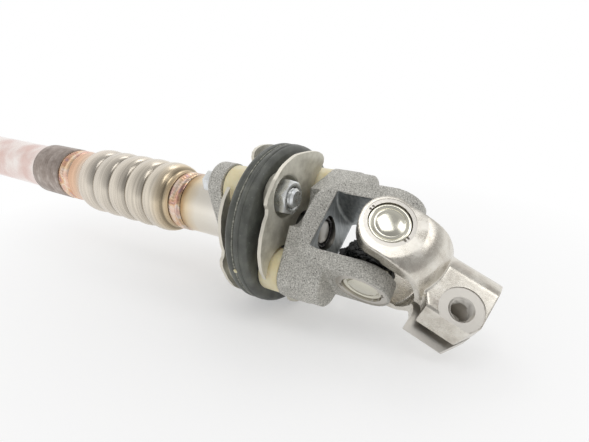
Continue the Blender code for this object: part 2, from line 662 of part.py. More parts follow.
def flange_yoke(yoke):
    base = slab("flange_yoke", eared_outline(YOKE_HUB_R, EAR_R, BOLT_CIRCLE_R), FLANGE_FACE, YOKE_BASE_END,
                "X", CAST_STEEL, yoke, FORGED_EDGE)
    half = YOKE_ARM_WIDTH / 2.0
    start = YOKE_BASE_END - ARM_ROOT
    arm = arc((0.0, JOINT_X), half, 180.0, 0.0, 12) + [(half, start), (-half, start)]
    for side, sign in (("near", -1), ("far", 1)):
        boss = [(sign * BOLT_CIRCLE_R + y, z) for y, z in arc((0.0, 0.0), YOKE_EAR_R, 0.0, 340.0, 17)]
        ear = slab(f"yoke_ear_{side}", boss, start, YOKE_EAR_END, "X", None, yoke, FORGED_EDGE)
        combine(base, ear, "UNION")
        low, high = sorted((sign * ARM_INSIDE, sign * FLANGE_ARM_OUTSIDE))
        combine(base, slab(f"yoke_arm_{side}", arm, low, high, "Y", None, yoke, FORGED_EDGE), "UNION")
    middle = (JOINT_X, 0, 0)
    combine(base, ball_zone("yoke_throat", THROAT_R, ARM_INSIDE, "Y", yoke, middle))
    reach = FLANGE_ARM_OUTSIDE + OVER
    combine(base, rod("yoke_cup_bore", CUP_R + GAP, -reach, reach, parent=yoke, axis="Y", place=middle))
    combine(base, rod("yoke_centre_bore", CENTRE_BUSH_R + GAP, FLANGE_FACE - OVER, JOINT_X, parent=yoke,
                      steps=MEDIUM))
    root = FLANGE_FACE + STUD_ROOT_START - GAP
    end = FLANGE_FACE + YOKE_STUD_REACH + GAP
    for side, sign in (("near", -1), ("far", 1)):
        hole = turned(f"yoke_stud_hole_{side}", [
            (FLANGE_FACE - OVER, 0.0), (FLANGE_FACE - OVER, STUD_R + GAP), (root, STUD_R + GAP),
            (root, STUD_ROOT_R + GAP), (end, STUD_ROOT_R + GAP), (end, 0.0)],
            None, yoke, place=ACROSS * BOLT_CIRCLE_R * sign, steps=SMALL)
        combine(base, hole)
        combine(base, rod(f"yoke_pocket_{side}", POCKET_R, FLANGE_FACE - OVER, FLANGE_FACE + POCKET_DEPTH,
                          parent=yoke, place=UP * BOLT_CIRCLE_R * sign, steps=MEDIUM))


def cross(joint):
    tip = CUP_FACE - CUP_BASE - GAP
    rounded = CROSS_BODY_HALF - TRUNNION_CHAMFER
    whole = mirrored([
        (rounded, CROSS_BODY_R), (CROSS_BODY_HALF, CROSS_BODY_R - TRUNNION_CHAMFER),
        (CROSS_BODY_HALF, TRUNNION_R), (tip - TRUNNION_CHAMFER, TRUNNION_R),
        (tip, TRUNNION_R - TRUNNION_CHAMFER), (tip, 0.0)])
    body = turned("cross", whole, HARD_STEEL, joint, axis="Y", steps=MEDIUM)
    combine(body, turned("cross_other", whole, None, joint, axis="Z", steps=MEDIUM), "UNION")


def bearing_cup(name, holder, axis, sign, place):
    """A drawn cup with a domed end, a shallow ring round the dome and its needles on the inner wall."""
    floor = CUP_FACE - CUP_BASE
    inner_r = CUP_R - CUP_WALL
    profile = [
        (floor, 0.0), (floor, inner_r), (CUP_MOUTH, inner_r), (CUP_MOUTH, CUP_R),
        (CUP_FACE - CUP_EDGE, CUP_R), (CUP_FACE, CUP_R - CUP_EDGE),
        (CUP_FACE - CUP_RING_DEPTH, CUP_R - CUP_RING), (CUP_FACE + CUP_DOME, 0.0)]
    flip = Matrix.Rotation(math.pi, 4, "X") if sign < 0 else Matrix.Identity(4)
    base = Matrix.Translation(place) @ ALONG[axis] @ flip
    cup = turned(name, profile, CUP_STEEL, holder)
    cup.matrix_basis = base
    race = TRUNNION_R + BEARING_GAP
    needle_r = (inner_r + NEEDLE_SINK - race) / 2.0
    low, high = CUP_MOUTH + NEEDLE_SETBACK, floor - NEEDLE_SETBACK
    for i in range(NEEDLES):
        needle = rod(f"{name}_needle_{i}", needle_r, low, high, None, holder, steps=NEEDLE_FACETS)
        spoke = Matrix.Rotation(math.tau * i / NEEDLES, 4, "Z") @ Matrix.Translation((race + needle_r, 0, 0))
        needle.matrix_basis = base @ spoke
        combine(cup, needle, "UNION")
    return cup


def trunnion_seals(names, holder, axis):
    """Soft rings that widen towards the cups, so that the four never meet."""
    low, high = CROSS_BODY_HALF + GAP, CUP_MOUTH - GAP
    one = turned("one_seal", [
        (low, SEAL_R), (high - SEAL_EDGE, SEAL_LIP_R), (high, SEAL_LIP_R - SEAL_EDGE),
        (high, TRUNNION_R + GAP), (low, TRUNNION_R + GAP)], SEAL_RUBBER, axis=axis, steps=MEDIUM, closed=True)
    copies(names, one, [Matrix.Identity(4), Matrix.Rotation(math.pi, 4, "X")], SEAL_RUBBER, holder)


def fork_outline():
    """The fork from the side: round eyes, fuller at the front, and straight edges that run to the clamp."""
    outline = arc((0.0, 0.0), EYE_R, 96.0, 180.0, 6)
    for turn in range(195, 271, 15):
        angle = math.radians(turn)
        outline.append((EYE_R * math.cos(angle), -FORK_FRONT_Y * math.sin(angle)))
    return outline + [(FORK_END_X, FORK_FRONT_Y), (FORK_END_X, FORK_BACK_Y), (EYE_R * 0.3, FORK_BACK_Y)]


def jaw_tip(jaw_y):
    """The end of a jaw in the clamp's section: a chamfer and a slanted flank down to the slot."""
    cheek_end = jaw_y + JAW_TAPER
    return [(cheek_end, CHEEK_Z), (cheek_end - JAW_CHAMFER_Y, CHEEK_Z - JAW_CHAMFER_Z), (jaw_y, 0.0)]


def clamp_section():
    """The clamp from its end: a round back, flat cheeks and tapered jaws, the far one longer."""
    far = [(y, -z) for y, z in reversed(jaw_tip(FAR_JAW_Y))]
    return arc((0.0, 0.0), BARREL_R, -78.0, 78.0, 12) + jaw_tip(NEAR_JAW_Y) + far


def jaw_side(jaw_x, jaw_y):
    """One half of the clamp from the side, with the jaw's corner cut back at the open end."""
    high = BARREL_R + OVER
    low = jaw_y - OVER
    corner_x = CLAMP_END_X + JAW_CORNER_SLOPE * (low - JAW_CORNER_Y)
    return [(CLAMP_START_X, high), (CLAMP_START_X, JAW_ROOT_Y + OVER), (jaw_x - JAW_ROOT_SETBACK, JAW_ROOT_Y),
            (jaw_x, JAW_SHOULDER_Y), (jaw_x, low), (corner_x, low), (CLAMP_END_X, JAW_CORNER_Y),
            (CLAMP_END_X, high)]


def clamp_yoke(turn):
    half = CLAMP_ARM_OUTSIDE
    fork = slab("clamp_yoke", fork_outline(), -half, half, "Z", BRIGHT_FORGING, turn)
    envelope = [(-z * MM, radius * MM) for z, radius in FORK_ENVELOPE[:-1]]
    envelope += [(z * MM, radius * MM) for z, radius in reversed(FORK_ENVELOPE)]
    envelope = [(envelope[0][0], 0.0)] + envelope + [(envelope[-1][0], 0.0)]
    combine(fork, turned("fork_envelope", envelope, parent=turn, axis="Z", steps=RIM_FACETS), "INTERSECT")
    clamp = slab("clamp_body", clamp_section(), CLAMP_START_X - OVER, CLAMP_END_X + OVER, "X", None, turn)
    profile = slab("clamp_profile", jaw_side(NEAR_JAW_X, NEAR_JAW_Y), 0.0, BARREL_R + OVER, "Z", None, turn)
    far = slab("far_profile", jaw_side(FAR_JAW_X, FAR_JAW_Y), -BARREL_R - OVER, 0.0, "Z", None, turn)
    combine(profile, far, "UNION")
    combine(clamp, profile, "INTERSECT")
    combine(fork, clamp, "UNION")
    combine(fork, ball_zone("fork_throat", THROAT_R, ARM_INSIDE, "Z", turn))
    reach = half + OVER
    combine(fork, rod("clamp_cup_bore", CUP_R + GAP, -reach, reach, parent=turn, axis="Z"))
    bore_start = THROAT_R - BORE_OVERLAP
    bore_end = CLAMP_END_X + OVER * 2
    combine(fork, rod("pinion_bore", PINION_R, bore_start, bore_end, parent=turn))
    combine(fork, block("pinch_slot", (bore_start, FAR_JAW_Y - OVER * 3, -SLOT_WIDTH / 2.0),
                        (bore_end, 0.0, SLOT_WIDTH / 2.0), parent=turn))
    place = (PINCH_X, PINCH_Y, 0)
    combine(fork, rod("pinch_hole", PINCH_R, -CHEEK_Z - OVER, CHEEK_Z + OVER, parent=turn, axis="Z",
                      place=place, steps=MEDIUM))
    face = CHEEK_Z - SPOT_DEPTH
    for side, low, high in (("near", face, CHEEK_Z + OVER), ("far", -CHEEK_Z - OVER, -face)):
        combine(fork, rod(f"spot_face_{side}", SPOT_R, low, high, parent=turn, axis="Z", place=place))


def build():
    column_stub()
    upper_tube()
    collar_sleeve()
    weld_bead("upper_weld", UPPER_WELD_X, UPPER_WELD_LENGTH, UPPER_TUBE_R - UPPER_TUBE_WALL)
    bellows_tube()
    weld_bead("lower_weld", LOWER_WELD_X, LOWER_WELD_LENGTH, BELLOWS_CUFF_R - BELLOWS_WALL)
    lower_tube()

    frame = empty("coupling_axis", None, (COUPLING_X, 0, 0), (ROLL, 0, 0))
    yoke = empty("twist_axis", frame, (0, 0, 0))
    joint = empty("cross_axis", yoke, (JOINT_X, 0, 0), (0, JOINT_BEND, 0))
    turn = empty("clamp_axis", joint, (0, 0, 0), (0, 0, JOINT_TURN))

    shaft_flange(frame)
    centering_pin(frame)
    coupling_rubber(frame)
    sleeves_and_bushes(frame, yoke, shaft_side=True)
    sleeves_and_bushes(frame, yoke, shaft_side=False)
    shaft_studs(frame)
    stud_nuts(SHAFT_SIDES, frame, UP, turn_over=False)
    catch_plate("yoke_side_plate", frame, Matrix.Identity(4))

    yoke_studs(yoke)
    stud_nuts(YOKE_SIDES, yoke, ACROSS, turn_over=True)
    quarter = Matrix.Rotation(math.pi, 4, "Z") @ Matrix.Rotation(math.pi / 2.0, 4, "X")
    catch_plate("shaft_side_plate", yoke, quarter)
    centering_bush(yoke)
    flange_yoke(yoke)
    middle = (JOINT_X, 0, 0)
    bearing_cup("flange_cup_far", yoke, "Y", 1, middle)
    bearing_cup("flange_cup_near", yoke, "Y", -1, middle)

    cross(joint)
    trunnion_seals(("flange_seal_far", "flange_seal_near"), joint, "Y")
    trunnion_seals(("clamp_seal_near", "clamp_seal_far"), joint, "Z")

    clamp_yoke(turn)
    bearing_cup("clamp_cup_near", turn, "Z", 1, (0, 0, 0))
    bearing_cup("clamp_cup_far", turn, "Z", -1, (0, 0, 0))

    for obj in PARTS.objects:
        if obj.type == "MESH" and obj.data.polygons:
            obj.data.shade_smooth()
            obj.data.set_sharp_from_angle(angle=math.radians(35.0))


build()
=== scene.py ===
# %% [markdown]
# # A steering shaft, dressed for the studio
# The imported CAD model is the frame: its places are fixed, and every piece made here rides on one of its bodies.
# The faceted solids are replaced by finely turned, forged and pressed pieces of the same size, each with the
# finish that its way of making leaves on the real thing.

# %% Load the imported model
import math

import bmesh
import bpy
from mathutils import Matrix, Vector, noise


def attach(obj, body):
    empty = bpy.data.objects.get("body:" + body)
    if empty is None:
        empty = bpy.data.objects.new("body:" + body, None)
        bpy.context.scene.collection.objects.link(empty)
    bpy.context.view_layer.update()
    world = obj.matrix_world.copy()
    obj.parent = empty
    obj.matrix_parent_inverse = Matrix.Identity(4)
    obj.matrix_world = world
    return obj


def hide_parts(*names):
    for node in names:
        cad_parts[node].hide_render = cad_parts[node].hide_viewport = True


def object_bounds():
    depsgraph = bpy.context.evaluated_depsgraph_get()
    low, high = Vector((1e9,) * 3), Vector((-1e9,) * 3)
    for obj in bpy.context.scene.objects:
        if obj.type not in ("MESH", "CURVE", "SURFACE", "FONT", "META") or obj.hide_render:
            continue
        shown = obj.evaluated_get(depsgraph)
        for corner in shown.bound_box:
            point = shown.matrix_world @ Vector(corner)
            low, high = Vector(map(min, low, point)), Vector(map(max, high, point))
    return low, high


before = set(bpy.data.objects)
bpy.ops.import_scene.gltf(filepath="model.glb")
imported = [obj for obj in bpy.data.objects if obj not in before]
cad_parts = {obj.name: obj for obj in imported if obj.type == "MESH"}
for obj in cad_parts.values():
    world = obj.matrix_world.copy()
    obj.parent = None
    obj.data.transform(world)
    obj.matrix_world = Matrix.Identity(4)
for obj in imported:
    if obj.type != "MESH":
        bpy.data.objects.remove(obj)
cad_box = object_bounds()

MM = 0.001

# %% [markdown]
# ## Where things are
# The coupling is rolled about the shaft, and the joint behind it is bent twice. Each piece is modelled upright in
# its own plain frame, and one matrix lays it in place. That keeps round things round and the numbers short.

# %% The frames that the pieces are modelled in
ROLL, BEND, TURN = 36.65, 21.9, -9.8
COUPLING_X = 299.9 * MM
JOINT_X = 46.3 * MM
LINE = Matrix.Identity(4)
COUPLING = Matrix.Translation((COUPLING_X, 0, 0)) @ Matrix.Rotation(math.radians(ROLL), 4, "X")
JOINT = COUPLING @ Matrix.Translation((JOINT_X, 0, 0)) @ Matrix.Rotation(math.radians(BEND), 4, "Y")
CLAMP = JOINT @ Matrix.Rotation(math.radians(TURN), 4, "Z")
AXIS = {
    "X": Matrix.Identity(4),
    "Y": Matrix(((0, 0, 1), (1, 0, 0), (0, 1, 0))).to_4x4(),
    "Z": Matrix(((0, 1, 0), (0, 0, 1), (1, 0, 0))).to_4x4(),
}
print("joint centre:", [round(v / MM, 1) for v in JOINT.translation])

# %% [markdown]
# ## Colours and nodes
# Colours are read off a screen, so they are sRGB, and a shader wants linear light. One function turns a hex
# code over. Another adds a node, sets its values and links what feeds it, which keeps each finish readable.

# %% Helpers for materials
FINISH = {}


def linear(code):
    """A #rrggbb colour as linear red, green, blue and alpha."""
    parts = [int(code[i:i + 2], 16) / 255.0 for i in (1, 3, 5)]
    return tuple(c / 12.92 if c <= 0.04045 else ((c + 0.055) / 1.055) ** 2.4 for c in parts) + (1.0,)


def add(tree, kind, settings=None, links=None, feeds=None):
    """A new node. Settings go to an input of that name or number, to the node itself, or to a ramp's stops.
    Links come from a socket, or from a node's first output in use. feeds is the shader's input that it drives."""
    node = tree.nodes.new("ShaderNode" + kind)
    for key, value in (settings or {}).items():
        if key == "stops":
            ramp = node.color_ramp.elements
            while len(ramp) < len(value):
                ramp.new(0.5)
            for stop, (position, code) in zip(ramp, value):
                stop.position = position
                stop.color = linear(code)
        elif isinstance(key, int) or key in node.inputs:
            node.inputs[key].default_value = value
        else:
            setattr(node, key, value)
    for key, source in (links or {}).items():
        if isinstance(source, bpy.types.Node):
            source = next(socket for socket in source.outputs if socket.enabled)
        tree.links.new(source, node.inputs[key])
    if feeds:
        out = next(socket for socket in node.outputs if socket.enabled)
        tree.links.new(out, tree.nodes["Principled BSDF"].inputs[feeds])
    return node


def new_finish(key, name, roughness, metallic, code):
    """A material, kept under its key: gives its tree and the object coordinates, metres in the row's frame."""
    made = FINISH[key] = bpy.data.materials.new(name)
    made.use_nodes = True
    shader = made.node_tree.nodes["Principled BSDF"]
    shader.inputs["Base Color"].default_value = linear(code)
    shader.inputs["Roughness"].default_value = roughness
    shader.inputs["Metallic"].default_value = metallic
    return made.node_tree, add(made.node_tree, "TexCoord").outputs["Object"]


def per_metre(size_mm):
    """A texture scale that repeats once in this many millimetres."""
    return 1.0 / (size_mm * MM)


MIX = {"data_type": "RGBA"}
MULTIPLY = {"data_type": "RGBA", "blend_type": "MULTIPLY", 0: 1.0}
print("white is", linear("#ffffff")[:3])

# %% [markdown]
# ## Drawn steel tube
# Cold drawn and left bright, the tube is almost a mirror with faint lengthwise streaks. Soft clouds of pink in its
# colour are a painted reflection of the pink that the bright tube shows. Stretching a noise along the shaft gives
# the streaks. They touch the roughness more than the colour, as on real drawn tube.

# %% Drawn tube
tree, place = new_finish("drawn_tube", "drawn_bright_steel", 0.16, 1.0, "#e6dcd6")
stretch = add(tree, "Mapping", {"Scale": (0.02, 1.0, 1.0)}, {"Vector": place})
streaks = add(tree, "TexNoise", {"Scale": per_metre(0.9), "Detail": 4.0}, {"Vector": stretch})
cloud = add(tree, "TexNoise", {"Scale": per_metre(14.0), "Detail": 3.0}, {"Vector": place})
add(tree, "MapRange", {"To Min": 0.10, "To Max": 0.26}, {"Value": streaks}, "Roughness")
# painted reflection: pink clouds in the base colour stand in for the pink that the tube reflects
add(tree, "ValToRGB", {"stops": [(0.35, "#efe7e2"), (0.65, "#dcc0b8")]}, {"Fac": cloud}, "Base Color")
add(tree, "Bump", {"Strength": 0.12, "Distance": 0.02 * MM}, {"Height": streaks}, "Normal")
print("drawn tube: streaks 0.9 mm wide")

# %% [markdown]
# ## Scaled and turned steel
# The collar was heated when it was pressed on, and a brown mill scale was left on it, rubbed through in places.
# The turned parts carry fine rings from the lathe tool, so their bump runs round them: a noise squeezed along
# the shaft and stretched across it gives those rings.

# %% Scaled collar and turned steel
tree, place = new_finish("scaled_steel", "scaled_mild_steel", 0.4, 0.85, "#aca098")
patch = add(tree, "TexNoise", {"Scale": per_metre(5.0), "Detail": 6.0, "Roughness": 0.65}, {"Vector": place})
squeeze = add(tree, "Mapping", {"Scale": (1.0, 0.06, 0.06)}, {"Vector": place})
rings = add(tree, "TexNoise", {"Scale": per_metre(1.0), "Detail": 2.0}, {"Vector": squeeze})
tint = add(tree, "ValToRGB", {"stops": [(0.30, "#877970"), (0.55, "#aca098"), (0.75, "#cdc4bc")]}, {"Fac": patch})
add(tree, "Mix", {**MIX, "blend_type": "OVERLAY", 0: 0.35}, {6: tint, 7: rings}, "Base Color")
add(tree, "MapRange", {"To Min": 0.26, "To Max": 0.5}, {"Value": patch}, "Roughness")
add(tree, "Bump", {"Strength": 0.3, "Distance": 0.03 * MM}, {"Height": rings}, "Normal")

tree, place = new_finish("turned_steel", "turned_mild_steel", 0.34, 0.9, "#aaa8a3")
squeeze = add(tree, "Mapping", {"Scale": (1.0, 0.04, 0.04)}, {"Vector": place})
rings = add(tree, "TexNoise", {"Scale": per_metre(0.7), "Detail": 2.0}, {"Vector": squeeze})
add(tree, "MapRange", {"To Min": 0.2, "To Max": 0.42}, {"Value": rings}, "Roughness")
add(tree, "Bump", {"Strength": 0.25, "Distance": 0.03 * MM}, {"Height": rings}, "Normal")
print("collar and turned steel: 2 finishes")

# %% [markdown]
# ## Heat tint
# Bright steel that was welded shows the colours of thin oxide: straw nearest the cool metal, then brown, purple
# and blue towards the weld. They follow the distance from the seam, so the station along the shaft, wobbled by a
# noise, drives one colour ramp. The welds add blotches of oxide over it. The bellows has painted shade in its
# valleys and painted light on its crests, a colour that follows the distance from the axis.

# %% Heat tinted weld, bellows and the tube ends beside them
def heat(tree, place, low, high, stops, wobble):
    """A colour by the station between two places on the shaft, in millimetres, with an uneven edge."""
    station = add(tree, "SeparateXYZ", None, {0: place})
    wave = add(tree, "TexNoise", {"Scale": per_metre(7.0), "Detail": 3.0}, {"Vector": place})
    shift = add(tree, "Math", {"operation": "MULTIPLY_ADD", 1: wobble * MM}, {0: wave, 2: station})
    share = add(tree, "MapRange", {"From Min": (low + wobble / 2) * MM, "From Max": (high + wobble / 2) * MM},
                {"Value": shift})
    return add(tree, "ValToRGB", {"stops": stops}, {"Fac": share})


tree, place = new_finish("heat_tinted_weld", "heat_tinted_steel", 0.24, 1.0, "#c8a184")
first = heat(tree, place, 154.0, 168.0, [
    (0.00, "#a98a78"), (0.10, "#ecc393"), (0.24, "#e6b48f"), (0.30, "#8c5a50"), (0.36, "#dfae92"),
    (0.55, "#ecd0b4"), (0.78, "#e2b093"), (0.90, "#e8c8ae"), (1.00, "#d9b69c")], 2.4)
second = heat(tree, place, 241.0, 253.0, [
    (0.00, "#d8cab4"), (0.20, "#c9ae92"), (0.27, "#7c6068"), (0.36, "#d8b49c"), (0.50, "#e6c4b0"),
    (0.62, "#d8b2a8"), (0.70, "#6c5a60"), (0.80, "#b8997c"), (1.00, "#d0b384")], 2.0)
station = add(tree, "SeparateXYZ", None, {0: place})
which = add(tree, "Math", {"operation": "GREATER_THAN", 1: 200.0 * MM}, {0: station})
tint = add(tree, "Mix", MIX, {0: which, 6: first, 7: second})
blotch = add(tree, "TexNoise", {"Scale": per_metre(7.0), "Detail": 1.5, "Distortion": 0.4}, {"Vector": place})
oxide = add(tree, "ValToRGB", {"stops": [
    (0.30, "#a08aa8"), (0.38, "#dba27c"), (0.46, "#f2d9ae"), (0.54, "#f7efe4"), (0.62, "#f0cdba"),
    (0.70, "#cda6ac")]}, {"Fac": blotch})
add(tree, "Mix", {**MIX, 0: 0.5}, {6: tint, 7: oxide}, "Base Color")
fleck = add(tree, "TexNoise", {"Scale": per_metre(1.6), "Detail": 4.0}, {"Vector": place})
add(tree, "MapRange", {"To Min": 0.14, "To Max": 0.42}, {"Value": fleck}, "Roughness")
add(tree, "Bump", {"Strength": 0.15, "Distance": 0.08 * MM}, {"Height": fleck}, "Normal")

tree, place = new_finish("bellows_steel", "formed_stainless_steel", 0.26, 1.0, "#cfc6b8")
squeeze = add(tree, "Mapping", {"Scale": (1.0, 0.03, 0.03)}, {"Vector": place})
brushed = add(tree, "TexNoise", {"Scale": per_metre(0.8), "Detail": 4.0}, {"Vector": squeeze})
tone = heat(tree, place, 164.0, 246.0, [
    (0.00, "#e0b292"), (0.09, "#e2c0a4"), (0.15, "#d6cabb"), (0.30, "#d3cbbf"), (0.86, "#d0c7b8"),
    (0.93, "#d6c3a4"), (1.00, "#b8976f")], 3.0)
# painted shade and light: darker towards the bellows' valleys and lighter on its crests, by the distance from the
# axis
across = add(tree, "Mapping", {"Scale": (0.0, 1.0, 1.0)}, {"Vector": place})
out = add(tree, "VectorMath", {"operation": "LENGTH"}, {0: across})
depth = add(tree, "MapRange", {"From Min": 14.9 * MM, "From Max": 16.6 * MM, "To Min": 0.5, "To Max": 1.12},
            {"Value": out})
neck = add(tree, "MapRange", {"From Min": 14.2 * MM, "From Max": 14.7 * MM, "To Min": 1.0, "To Max": 0.0},
           {"Value": out})
painted_valley_shade = add(tree, "Math", {"operation": "MAXIMUM"}, {0: depth, 1: neck})
grain = add(tree, "MapRange", {"From Min": 0.3, "From Max": 0.7, "To Min": 0.8, "To Max": 1.14},
            {"Value": brushed})
painted_shade_and_grain = add(tree, "Math", {"operation": "MULTIPLY"}, {0: painted_valley_shade, 1: grain})
add(tree, "Mix", MULTIPLY, {6: tone, 7: painted_shade_and_grain}, "Base Color")
add(tree, "MapRange", {"To Min": 0.18, "To Max": 0.38}, {"Value": brushed}, "Roughness")
add(tree, "Bump", {"Strength": 0.2, "Distance": 0.03 * MM}, {"Height": brushed}, "Normal")

tree, place = new_finish("tinted_tube", "straw_tinted_tube", 0.2, 1.0, "#c4b39c")
tone = heat(tree, place, 250.0, 285.0, [
    (0.00, "#7d6450"), (0.05, "#b4946c"), (0.13, "#dcc8a8"), (0.30, "#e6dfd2"), (0.7, "#e8e4dc"),
    (1.00, "#dad6ce")], 3.5)
tree.links.new(tone.outputs["Color"], tree.nodes["Principled BSDF"].inputs["Base Color"])
print("heat tints: 3 finishes")

# %% [markdown]
# ## Grit blasted forging
# The flange and its yoke were hot forged and then blasted with grit, which leaves a dull grey skin of tiny pits
# and a few dark pores. Two sizes of noise and a cell pattern make the pits, and they all go into the bump as well.
# Grit is finer than the 0.5 mm used here, which is as fine as still shows. Where a tool has cut the forging
# afterwards, the metal is bright, so the cutters carry a finish of their own, and the walls of the throat, that
# slid along the die, are smoother and a little blue.

# %% Blasted forging, the bright cuts in it and the die's walls
tree, place = new_finish("blasted_forging", "grit_blasted_steel", 0.6, 0.6, "#c0beb8")
grit = add(tree, "TexNoise", {"Scale": per_metre(0.5), "Detail": 4.0, "Roughness": 0.65}, {"Vector": place})
cloud = add(tree, "TexNoise", {"Scale": per_metre(9.0), "Detail": 3.0}, {"Vector": place})
pores = add(tree, "TexVoronoi", {"Scale": per_metre(2.1), "Randomness": 1.0}, {"Vector": place})
tint = add(tree, "ValToRGB", {"stops": [(0.32, "#85837d"), (0.5, "#c4c2bb"), (0.68, "#eeece6")]}, {"Fac": grit})
broad = add(tree, "MapRange", {"To Min": 0.78, "To Max": 1.16}, {"Value": cloud})
shade = add(tree, "Mix", MULTIPLY, {6: tint, 7: broad})
dark = add(tree, "MapRange", {"From Min": 0.05, "From Max": 0.16}, {"Value": pores})
add(tree, "Mix", {**MIX, 6: linear("#3a3836")}, {0: dark, 7: shade}, "Base Color")
add(tree, "MapRange", {"To Min": 0.48, "To Max": 0.72}, {"Value": grit}, "Roughness")
height = add(tree, "Math", {"operation": "ADD"}, {0: grit, 1: dark})
add(tree, "Bump", {"Strength": 0.75, "Distance": 0.2 * MM}, {"Height": height}, "Normal")

tree, place = new_finish("machined_cut", "machined_cut", 0.32, 1.0, "#cecac3")
lines = add(tree, "TexNoise", {"Scale": per_metre(0.8), "Detail": 3.0}, {"Vector": place})
add(tree, "MapRange", {"To Min": 0.24, "To Max": 0.46}, {"Value": lines}, "Roughness")
add(tree, "Bump", {"Strength": 0.15, "Distance": 0.03 * MM}, {"Height": lines}, "Normal")

tree, place = new_finish("die_wall", "die_drawn_wall", 0.4, 0.9, "#a7abad")
pull = add(tree, "Mapping", {"Scale": (1.0, 1.0, 0.12)}, {"Vector": place})
lines = add(tree, "TexNoise", {"Scale": per_metre(1.2), "Detail": 4.0}, {"Vector": pull})
add(tree, "ValToRGB", {"stops": [(0.3, "#8b9093"), (0.7, "#b9bcbc")]}, {"Fac": lines}, "Base Color")
add(tree, "MapRange", {"To Min": 0.3, "To Max": 0.5}, {"Value": lines}, "Roughness")
add(tree, "Bump", {"Strength": 0.2, "Distance": 0.05 * MM}, {"Height": lines}, "Normal")
print("forging: grit 0.5 mm, pores 2.1 mm apart")

# %% [markdown]
# ## Bright forging
# The clamp yoke was tumbled until it shone, so it is a warm satin metal with soft clouds and short scratches that
# run every way. Two stretched noises at different turns stand for the scratches. Old grease from the seals is
# smeared on the fork beside them, so the colour turns black within a ragged ball round that place.

# %% Satin forging
tree, place = new_finish("bright_forging", "tumbled_steel", 0.34, 1.0, "#d4cdc5")
cloud = add(tree, "TexNoise", {"Scale": per_metre(6.0), "Detail": 5.0, "Roughness": 0.6}, {"Vector": place})
marks = []
for lean in (25.0, -50.0):
    turned = (math.radians(lean), math.radians(lean), 0.0)
    turn = add(tree, "Mapping", {"Rotation": turned, "Scale": (0.08, 1.0, 1.0)}, {"Vector": place})
    marks.append(add(tree, "TexNoise", {"Scale": per_metre(0.8), "Detail": 2.0}, {"Vector": turn}))
both = add(tree, "Math", {"operation": "MULTIPLY"}, {0: marks[0], 1: marks[1]})
tint = add(tree, "ValToRGB", {"stops": [(0.3, "#bfb8ae"), (0.5, "#d7d2c8"), (0.7, "#eae6de")]}, {"Fac": cloud})
old_grease = JOINT @ Vector((0.0, -9.0 * MM, 9.0 * MM))
away = add(tree, "VectorMath", {"operation": "DISTANCE", 1: old_grease}, {0: place})
torn_edge = add(tree, "Math", {"operation": "MULTIPLY_ADD", 1: 3.0 * MM}, {0: cloud, 2: away})
clean = add(tree, "MapRange", {"From Min": 8.9 * MM, "From Max": 9.3 * MM}, {"Value": torn_edge})
add(tree, "Mix", {**MIX, 6: linear("#100f10")}, {0: clean, 7: tint}, "Base Color")
mixed = add(tree, "Math", {"operation": "ADD"}, {0: both, 1: cloud})
add(tree, "MapRange", {"From Min": 0.4, "From Max": 1.1, "To Min": 0.17, "To Max": 0.38}, {"Value": mixed},
    "Roughness")
add(tree, "Bump", {"Strength": 0.12, "Distance": 0.05 * MM}, {"Height": mixed}, "Normal")
print("satin forging: clouds 6 mm, scratches 0.8 mm")

# %% [markdown]
# ## Sheet, fasteners and cups
# The catch plates are pressed from plated sheet and have dulled, while their sheared edges stay lighter. The studs
# and nuts are zinc plated, slightly blue. The cups are drawn and polished, nearly mirrors.

# %% Plated sheet, zinc and polished cups
tree, place = new_finish("plated_sheet", "dulled_plated_sheet", 0.46, 0.6, "#d4d1c4")
cloud = add(tree, "TexNoise", {"Scale": per_metre(4.0), "Detail": 6.0, "Roughness": 0.6}, {"Vector": place})
add(tree, "ValToRGB", {"stops": [(0.3, "#bdb9ac"), (0.55, "#d4d1c4"), (0.75, "#e4e1d6")]}, {"Fac": cloud},
    "Base Color")
add(tree, "MapRange", {"To Min": 0.36, "To Max": 0.58}, {"Value": cloud}, "Roughness")
add(tree, "Bump", {"Strength": 0.15, "Distance": 0.05 * MM}, {"Height": cloud}, "Normal")

new_finish("sheared_edge", "sheared_edge", 0.42, 0.7, "#e2ddd0")

tree, place = new_finish("plated_fastener", "zinc_plate", 0.3, 0.9, "#d2d4d4")
cloud = add(tree, "TexNoise", {"Scale": per_metre(2.0), "Detail": 4.0}, {"Vector": place})
add(tree, "ValToRGB", {"stops": [(0.3, "#d2d2cd"), (0.7, "#e8ebee")]}, {"Fac": cloud}, "Base Color")
add(tree, "MapRange", {"To Min": 0.18, "To Max": 0.4}, {"Value": cloud}, "Roughness")

tree, place = new_finish("drawn_cup", "polished_cup_steel", 0.14, 1.0, "#dedbcd")
cloud = add(tree, "TexNoise", {"Scale": per_metre(3.0), "Detail": 4.0}, {"Vector": place})
add(tree, "MapRange", {"To Min": 0.1, "To Max": 0.24}, {"Value": cloud}, "Roughness")

new_finish("ground_steel", "ground_steel", 0.2, 1.0, "#c9c8c4")
print("plated and polished: 5 finishes")

# %% [markdown]
# ## Rubber, grease and nylon
# The disc is a slate-grey moulded rubber with a dusty bloom and pale scuffs. The joint's seals are black and wet
# with grease. The bushes are natural nylon, cream and a little see-through, so light scatters inside them.

